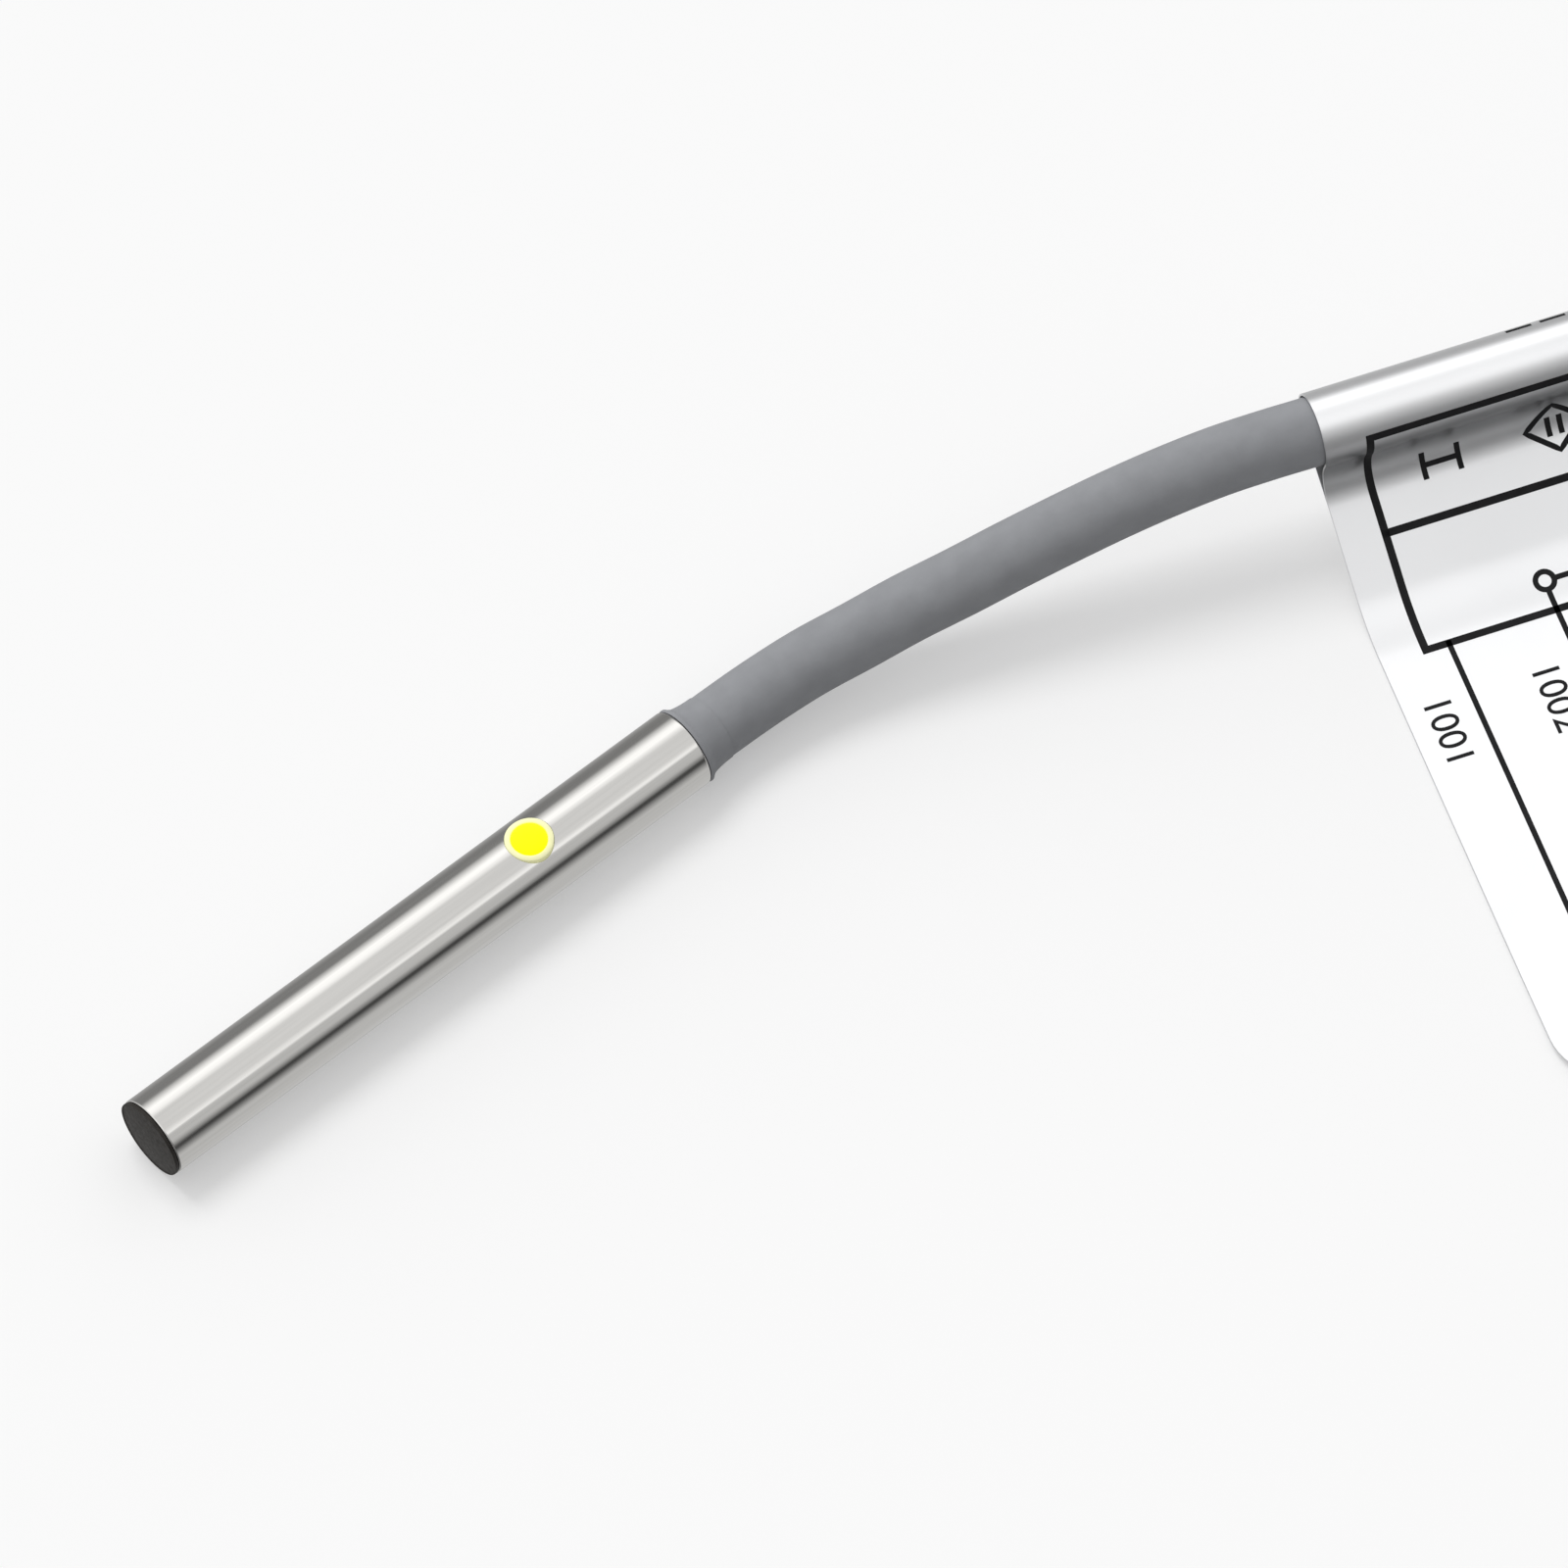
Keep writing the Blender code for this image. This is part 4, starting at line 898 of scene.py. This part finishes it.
def print_lines(plan):
    """Every printed line as (points, width): a frame, a divider, signs and three lead lines."""
    around = (PRINT_STARTS - FRAME_TURN) * LABEL_OUTER
    divide = plan.length_at(DIVIDER_OUT)
    foot = plan.length_at(FRAME_OUT)
    left, right = FRAME_MARGIN, LABEL_WIDTH - FRAME_MARGIN
    thick = [[(s, left), (s, right)] for s in (around, divide, foot)]
    thick += [[(around, v), (foot, v)] for v in (left, right)]
    thin = []
    end = plan.length_at(LEAD_OUT)
    for number in range(LEAD_COUNT):
        v = LEAD_LINES + number * LEAD_PITCH
        thin.append([(foot, v), (end, v)])
        thin.append(circle_line(end + TERMINAL_RADIUS, v, TERMINAL_RADIUS))

    sign = plan.length_at(SIGNS_OUT)
    thin.append([(sign, v) for v in BAR_ENDS])
    for v in BAR_ENDS:
        thin.append([(sign - BAR_STROKE, v), (sign + BAR_STROKE, v)])
    middle = DIAMOND_PLACE
    wide, tall = DIAMOND_HALF
    thin.append([(sign, middle - wide), (sign - tall, middle), (sign, middle + wide),
                 (sign + tall, middle), (sign, middle - wide)])
    aside, half = DIAMOND_STROKE
    for v in (middle - aside, middle + aside):
        thin.append([(sign - half, v), (sign + half, v)])

    joint = plan.length_at(JOINT_OUT)
    second = LEAD_LINES + LEAD_PITCH
    third = second + LEAD_PITCH
    thin.append(circle_line(joint, second, JOINT_RADIUS))
    thin.append([(joint + JOINT_RADIUS, second), (foot, second)])
    thin.append([(joint, second + JOINT_RADIUS), (joint, third)])
    thin.append([(joint, third), (foot, third)])

    far = (PRINT_STARTS - DASH_TURN) * LABEL_OUTER
    for number in range(DASHES):
        v = DASH_FIRST + number * DASH_PITCH
        thin.append([(far, v), (far, v + DASH_LENGTH)])
    return [(points, LINE_THICK) for points in thick] + [(points, LINE_THIN) for points in thin]


def circle_line(s, v, radius, steps=24):
    """A drawn circle."""
    return [(s + radius * math.cos(TAU * step / steps), v + radius * math.sin(TAU * step / steps))
            for step in range(steps + 1)]


def ink_line(shape, plan, points, width):
    """A printed line that follows the film, a thin closed strip."""
    places = [Vector(points[0])]
    for start, end in zip(points, points[1:]):
        start, end = Vector(start), Vector(end)
        steps = max(1, math.ceil((end - start).length / (0.25 * MM)))
        places += [start.lerp(end, step / steps) for step in range(1, steps + 1)]
    closed = (places[0] - places[-1]).length < TINY
    if not closed:
        ahead = (places[1] - places[0]).normalized() * width / 2
        places[0] = places[0] - ahead
        ahead = (places[-1] - places[-2]).normalized() * width / 2
        places[-1] = places[-1] + ahead
    rows = []
    for number, place in enumerate(places):
        before = places[number - 1] if number else places[-2 if closed else 0]
        after = places[number + 1] if number + 1 < len(places) else places[1 if closed else -1]
        ahead = (after - before).normalized()
        side = Vector((-ahead.y, ahead.x)) * width / 2
        row = []
        for lift in (INK_RISE, -INK_RISE):
            for edge in (place + side, place - side):
                row.append(shape.verts.new(plan.at(edge.x, edge.y, lift)))
        rows.append((row[0], row[1], row[3], row[2]))
    join_loops(shape, rows)
    for row in (rows[0], rows[-1]):
        shape.faces.new(row)


def digit_mesh(text):
    """A plain figure as a thin flat mesh, its foot at the origin."""
    letter = bpy.data.curves.new("figure", "FONT")
    letter.body = text
    letter.size = DIGIT_SIZE
    letter.align_x = "CENTER"
    letter.align_y = "CENTER"
    letter.extrude = INK_RISE
    letter.resolution_u = 6
    holder = add_object("figure", letter)
    mesh = evaluated_mesh(holder)
    bpy.data.objects.remove(holder)
    return mesh


def add_print():
    """Black print: a plain wiring figure with the numbers of its three leads."""
    plan = PrintPlan()

    def ink(shape):
        for points, width in print_lines(plan):
            ink_line(shape, plan, points, width)
        middle = plan.length_at(DIGITS_OUT)
        for number in range(LEAD_COUNT):
            v = LEAD_LINES + number * LEAD_PITCH - DIGITS_BESIDE
            mesh = digit_mesh(f"100{number + 1}")
            first = len(shape.verts)
            shape.from_mesh(mesh)
            shape.verts.ensure_lookup_table()
            for vertex in shape.verts[first:]:
                along, up, lift = vertex.co
                vertex.co = plan.at(middle + along, v + up, lift)
            bpy.data.meshes.remove(mesh)

    label_print = mesh_piece("marking_print", ink)
    look = surface("black_ink", (0.012, 0.012, 0.013), 0.6, tint=0.2, patch=0.6 * MM, bump=0,
                   specular=0.15)
    return dress(label_print, look, "silver_film")


# Twist tie

def tie_loop(grow):
    """The tie's way round the turns of the coil, from its top, across and up."""
    half_width = COIL_COLUMNS * JACKET_DIAMETER / 2
    inner_radius = COIL_MEAN_DIAMETER / 2 - half_width
    bow = inner_radius - math.sqrt(inner_radius**2 - (TIE_WIDTH / 2) ** 2)
    right = half_width + TIE_FIT + grow
    left = -half_width - TIE_FIT - bow - grow
    low = COIL_LIFT - TIE_FIT - grow
    high = COIL_LIFT + COIL_LAYERS * JACKET_DIAMETER + TIE_FIT + grow
    corner = JACKET_DIAMETER / 2 + grow
    return softened([(left, high, corner), (right, high, corner), (right, low, corner),
                     (left, low, corner)], steps=10)


def tie_stem(shape, side, middle, radial, sideways):
    """One of the tie's two ends, twisted about the other, on top of the coil."""
    top = COIL_LIFT + COIL_LAYERS * JACKET_DIAMETER + TIE_FIT + TIE_THICKNESS
    radius = TIE_STEM_WIDTH / 2
    oval = [Vector((radius * 0.5 * side + radius * 0.5 * math.cos(TAU * k / STEM_SIDES),
                    radius * 0.36 * math.sin(TAU * k / STEM_SIDES))) for k in range(STEM_SIDES)]
    rows = []
    for step in range(STEM_STEPS + 1):
        share = step / STEM_STEPS
        turn = Matrix.Rotation(TIE_TWIST * share, 2)
        flare = max(0, share - STEM_FLARES) / (1 - STEM_FLARES)
        row = []
        for point in oval:
            spun = turn @ (point + Vector((side * flare * flare * 0.5 * MM, 0)))
            row.append(shape.verts.new(
                middle + sideways * (TIE_STEM * share - TIE_WIDTH / 4) + radial * spun.x
                + Vector((0, 0, top + radius * 0.9 + spun.y))))
        rows.append(row)
    join_loops(shape, rows)
    shape.faces.new(rows[0])
    shape.faces.new(rows[-1])


def add_tie(centre):
    """Flat black tie with a wire along its middle, its twisted ends lying on the coil."""
    radial = Vector((math.cos(TIE_BEARING), math.sin(TIE_BEARING), 0))
    sideways = Vector((-radial.y, radial.x, 0))
    middle = Vector((centre.x, centre.y, 0)) + radial * COIL_MEAN_DIAMETER / 2
    half = TIE_WIDTH / 2
    section = softened([(-half, TIE_RIM, 0.1 * MM), (-TIE_WIRE, TIE_RIM * 1.2, 0),
                        (0, TIE_THICKNESS, 0.3 * MM), (TIE_WIRE, TIE_RIM * 1.2, 0),
                        (half, TIE_RIM, 0.1 * MM), (half, TIE_FOOT, TIE_FOOT),
                        (-half, TIE_FOOT, TIE_FOOT)])

    def band(shape):
        rows = []
        for across, out in section:
            rows.append([shape.verts.new(middle + radial * point.x + sideways * across
                                         + Vector((0, 0, point.y))) for point in tie_loop(out)])
        join_loops(shape, rows + rows[:1])

        for side in (-1, 1):
            tie_stem(shape, side, middle, radial, sideways)

    tie = mesh_piece("twist_tie", band, sharp=math.radians(55))
    look = surface("black_tie", (0.03, 0.03, 0.03), 0.42, tint=0.15, patch=0.8 * MM,
                   bump=0.01 * MM, bump_size=0.2 * MM)
    return dress(tie, look, "tie_black", "coil_tie")


# Studio

def add_floor():
    """Plain pale floor that keeps the object's shadow."""
    floor = mesh_piece("floor", lambda shape: bmesh.ops.create_grid(
        shape, x_segments=1, y_segments=1, size=FLOOR_SIDE / 2))
    material = bpy.data.materials.new("floor")
    material.use_nodes = True
    tree = material.node_tree
    shader = tree.nodes["Principled BSDF"]
    shader.inputs["Roughness"].default_value = 1.0
    shader.inputs["Specular IOR Level"].default_value = 0.0
    seen = node(tree, "ShaderNodeLightPath").outputs["Is Camera Ray"]
    tone = blend_colours(tree, seen, (FLOOR_BOUNCE,) * 3, (FLOOR_TONE,) * 3)
    tree.links.new(tone, shader.inputs["Base Color"])
    glow = node(tree, "ShaderNodeEmission", Strength=BACKGROUND_LEVEL)
    both = node(tree, "ShaderNodeMixShader", _0=maths(tree, "MULTIPLY", seen, FLOOR_GLOW),
                _1=shader.outputs[0], _2=glow.outputs[0])
    tree.links.new(both.outputs[0], tree.nodes["Material Output"].inputs["Surface"])
    floor.data.materials.append(material)
    floor.visible_glossy = False


def light_ramp(tree, share, lights):
    """Panels and gaps by the angle round the object's axis, as a share of a full turn."""
    ramp = node(tree, "ShaderNodeValToRGB", Fac=share)
    stops = ramp.color_ramp.elements
    while len(stops) > 1:
        stops.remove(stops[-1])
    edges = [(degrees, level) for start, end, level in lights for degrees in (start, end)]
    stops[0].position = edges[0][0] / 360 + 0.25
    stops[0].color = (*[edges[0][1]] * 3, 1)
    for degrees, level in edges[1:]:
        stops.new(degrees / 360 + 0.25).color = (level, level, level, 1)
    return ramp.outputs["Color"]


def add_world():
    """White surroundings, with soft bands of light and dark for gloss and glass."""
    world = bpy.data.worlds.new("studio")
    bpy.context.scene.world = world
    world.use_nodes = True
    world.cycles.sampling_method = "NONE"
    tree = world.node_tree
    tree.nodes.clear()
    direction = node(tree, "ShaderNodeTexCoord").outputs["Generated"]
    x, y, z = node(tree, "ShaderNodeSeparateXYZ", Vector=direction).outputs
    turned = maths(tree, "ARCTAN2", maths(tree, "MULTIPLY", y, -1.0), z)
    share = maths(tree, "ADD", maths(tree, "DIVIDE", turned, TAU), 0.5)
    barrel_side = smooth_step(tree, x, *BARREL_START)
    bands = blend_colours(tree, barrel_side, light_ramp(tree, share, FLAG_LIGHTS),
                          light_ramp(tree, share, BARREL_LIGHTS))
    ends = smooth_step(tree, maths(tree, "ABSOLUTE", x), *ENDS_START)
    bands = blend_colours(tree, ends, bands, (GLOSS_ENDS,) * 3)
    behind = maths(tree, "ADD", maths(tree, "MULTIPLY", y, FILL_BEHIND), FILL_LEVEL)
    fill = node(tree, "ShaderNodeBackground", Strength=behind, Color=(1, 1, 1, 1))
    gloss = node(tree, "ShaderNodeBackground", Strength=GLOSS_STRENGTH, Color=bands)
    plain = node(tree, "ShaderNodeBackground", Strength=BACKGROUND_LEVEL, Color=(1, 1, 1, 1))
    rays = node(tree, "ShaderNodeLightPath").outputs
    shiny = maths(tree, "MAXIMUM", rays["Is Glossy Ray"], rays["Is Transmission Ray"])
    first = node(tree, "ShaderNodeMixShader", _0=shiny, _1=fill.outputs[0], _2=gloss.outputs[0])
    second = node(tree, "ShaderNodeMixShader", _0=rays["Is Camera Ray"], _1=first.outputs[0],
                  _2=plain.outputs[0])
    node(tree, "ShaderNodeOutputWorld", Surface=second.outputs[0])


def add_key():
    """Soft main light from above and behind the object."""
    lamp = bpy.data.lights.new("key", "SUN")
    lamp.energy = KEY_STRENGTH
    lamp.angle = KEY_WIDTH
    key = add_object("key", lamp)
    key.rotation_euler = KEY_TOWARDS.to_track_quat("Z", "Y").to_euler()
    key.visible_glossy = False


def add_camera():
    """Camera at the photograph's viewing angle."""
    back = Vector((math.sin(CAMERA_AZIMUTH) * math.cos(CAMERA_ELEVATION),
                   -math.cos(CAMERA_AZIMUTH) * math.cos(CAMERA_ELEVATION),
                   math.sin(CAMERA_ELEVATION)))
    data = bpy.data.cameras.new("camera")
    data.sensor_width = CAMERA_SENSOR
    data.lens = CAMERA_LENS
    data.clip_end = 10
    camera = add_object("camera", data)
    camera.location = PICTURE_CENTRE + back * CAMERA_DISTANCE
    camera.rotation_euler = (-back).to_track_quat("-Z", "Y").to_euler()
    bpy.context.scene.camera = camera


def dress_inner_nodes(finishes):
    """Gives each node that stays as it is the finish of its slot."""
    for part in frame["record"]["subparts"]:
        look = finishes.get(part["material_slot"])
        if look:
            slots = NODES[part["node"]].data.materials
            slots.clear()
            slots.append(look)


add_camera()
add_world()
add_key()
add_floor()
inner = inner_finishes()
inner["pale_ring"] = surface("light_chip", (0.90, 0.88, 0.70), 0.3, patch=0.2 * MM)
dress_inner_nodes(inner)
add_barrel()
add_cap()
add_seal()
add_indicator()
run_points, coil_turns, tail_points, coil_middle = cable_routes()
cable, cable_length = add_cable(run_points, coil_turns, tail_points)
label = add_label()
label_ink = add_print()
tie = add_tie(coil_middle)
leads = add_leads(tail_points, inner)
bpy.context.scene.view_settings.view_transform = "Standard"
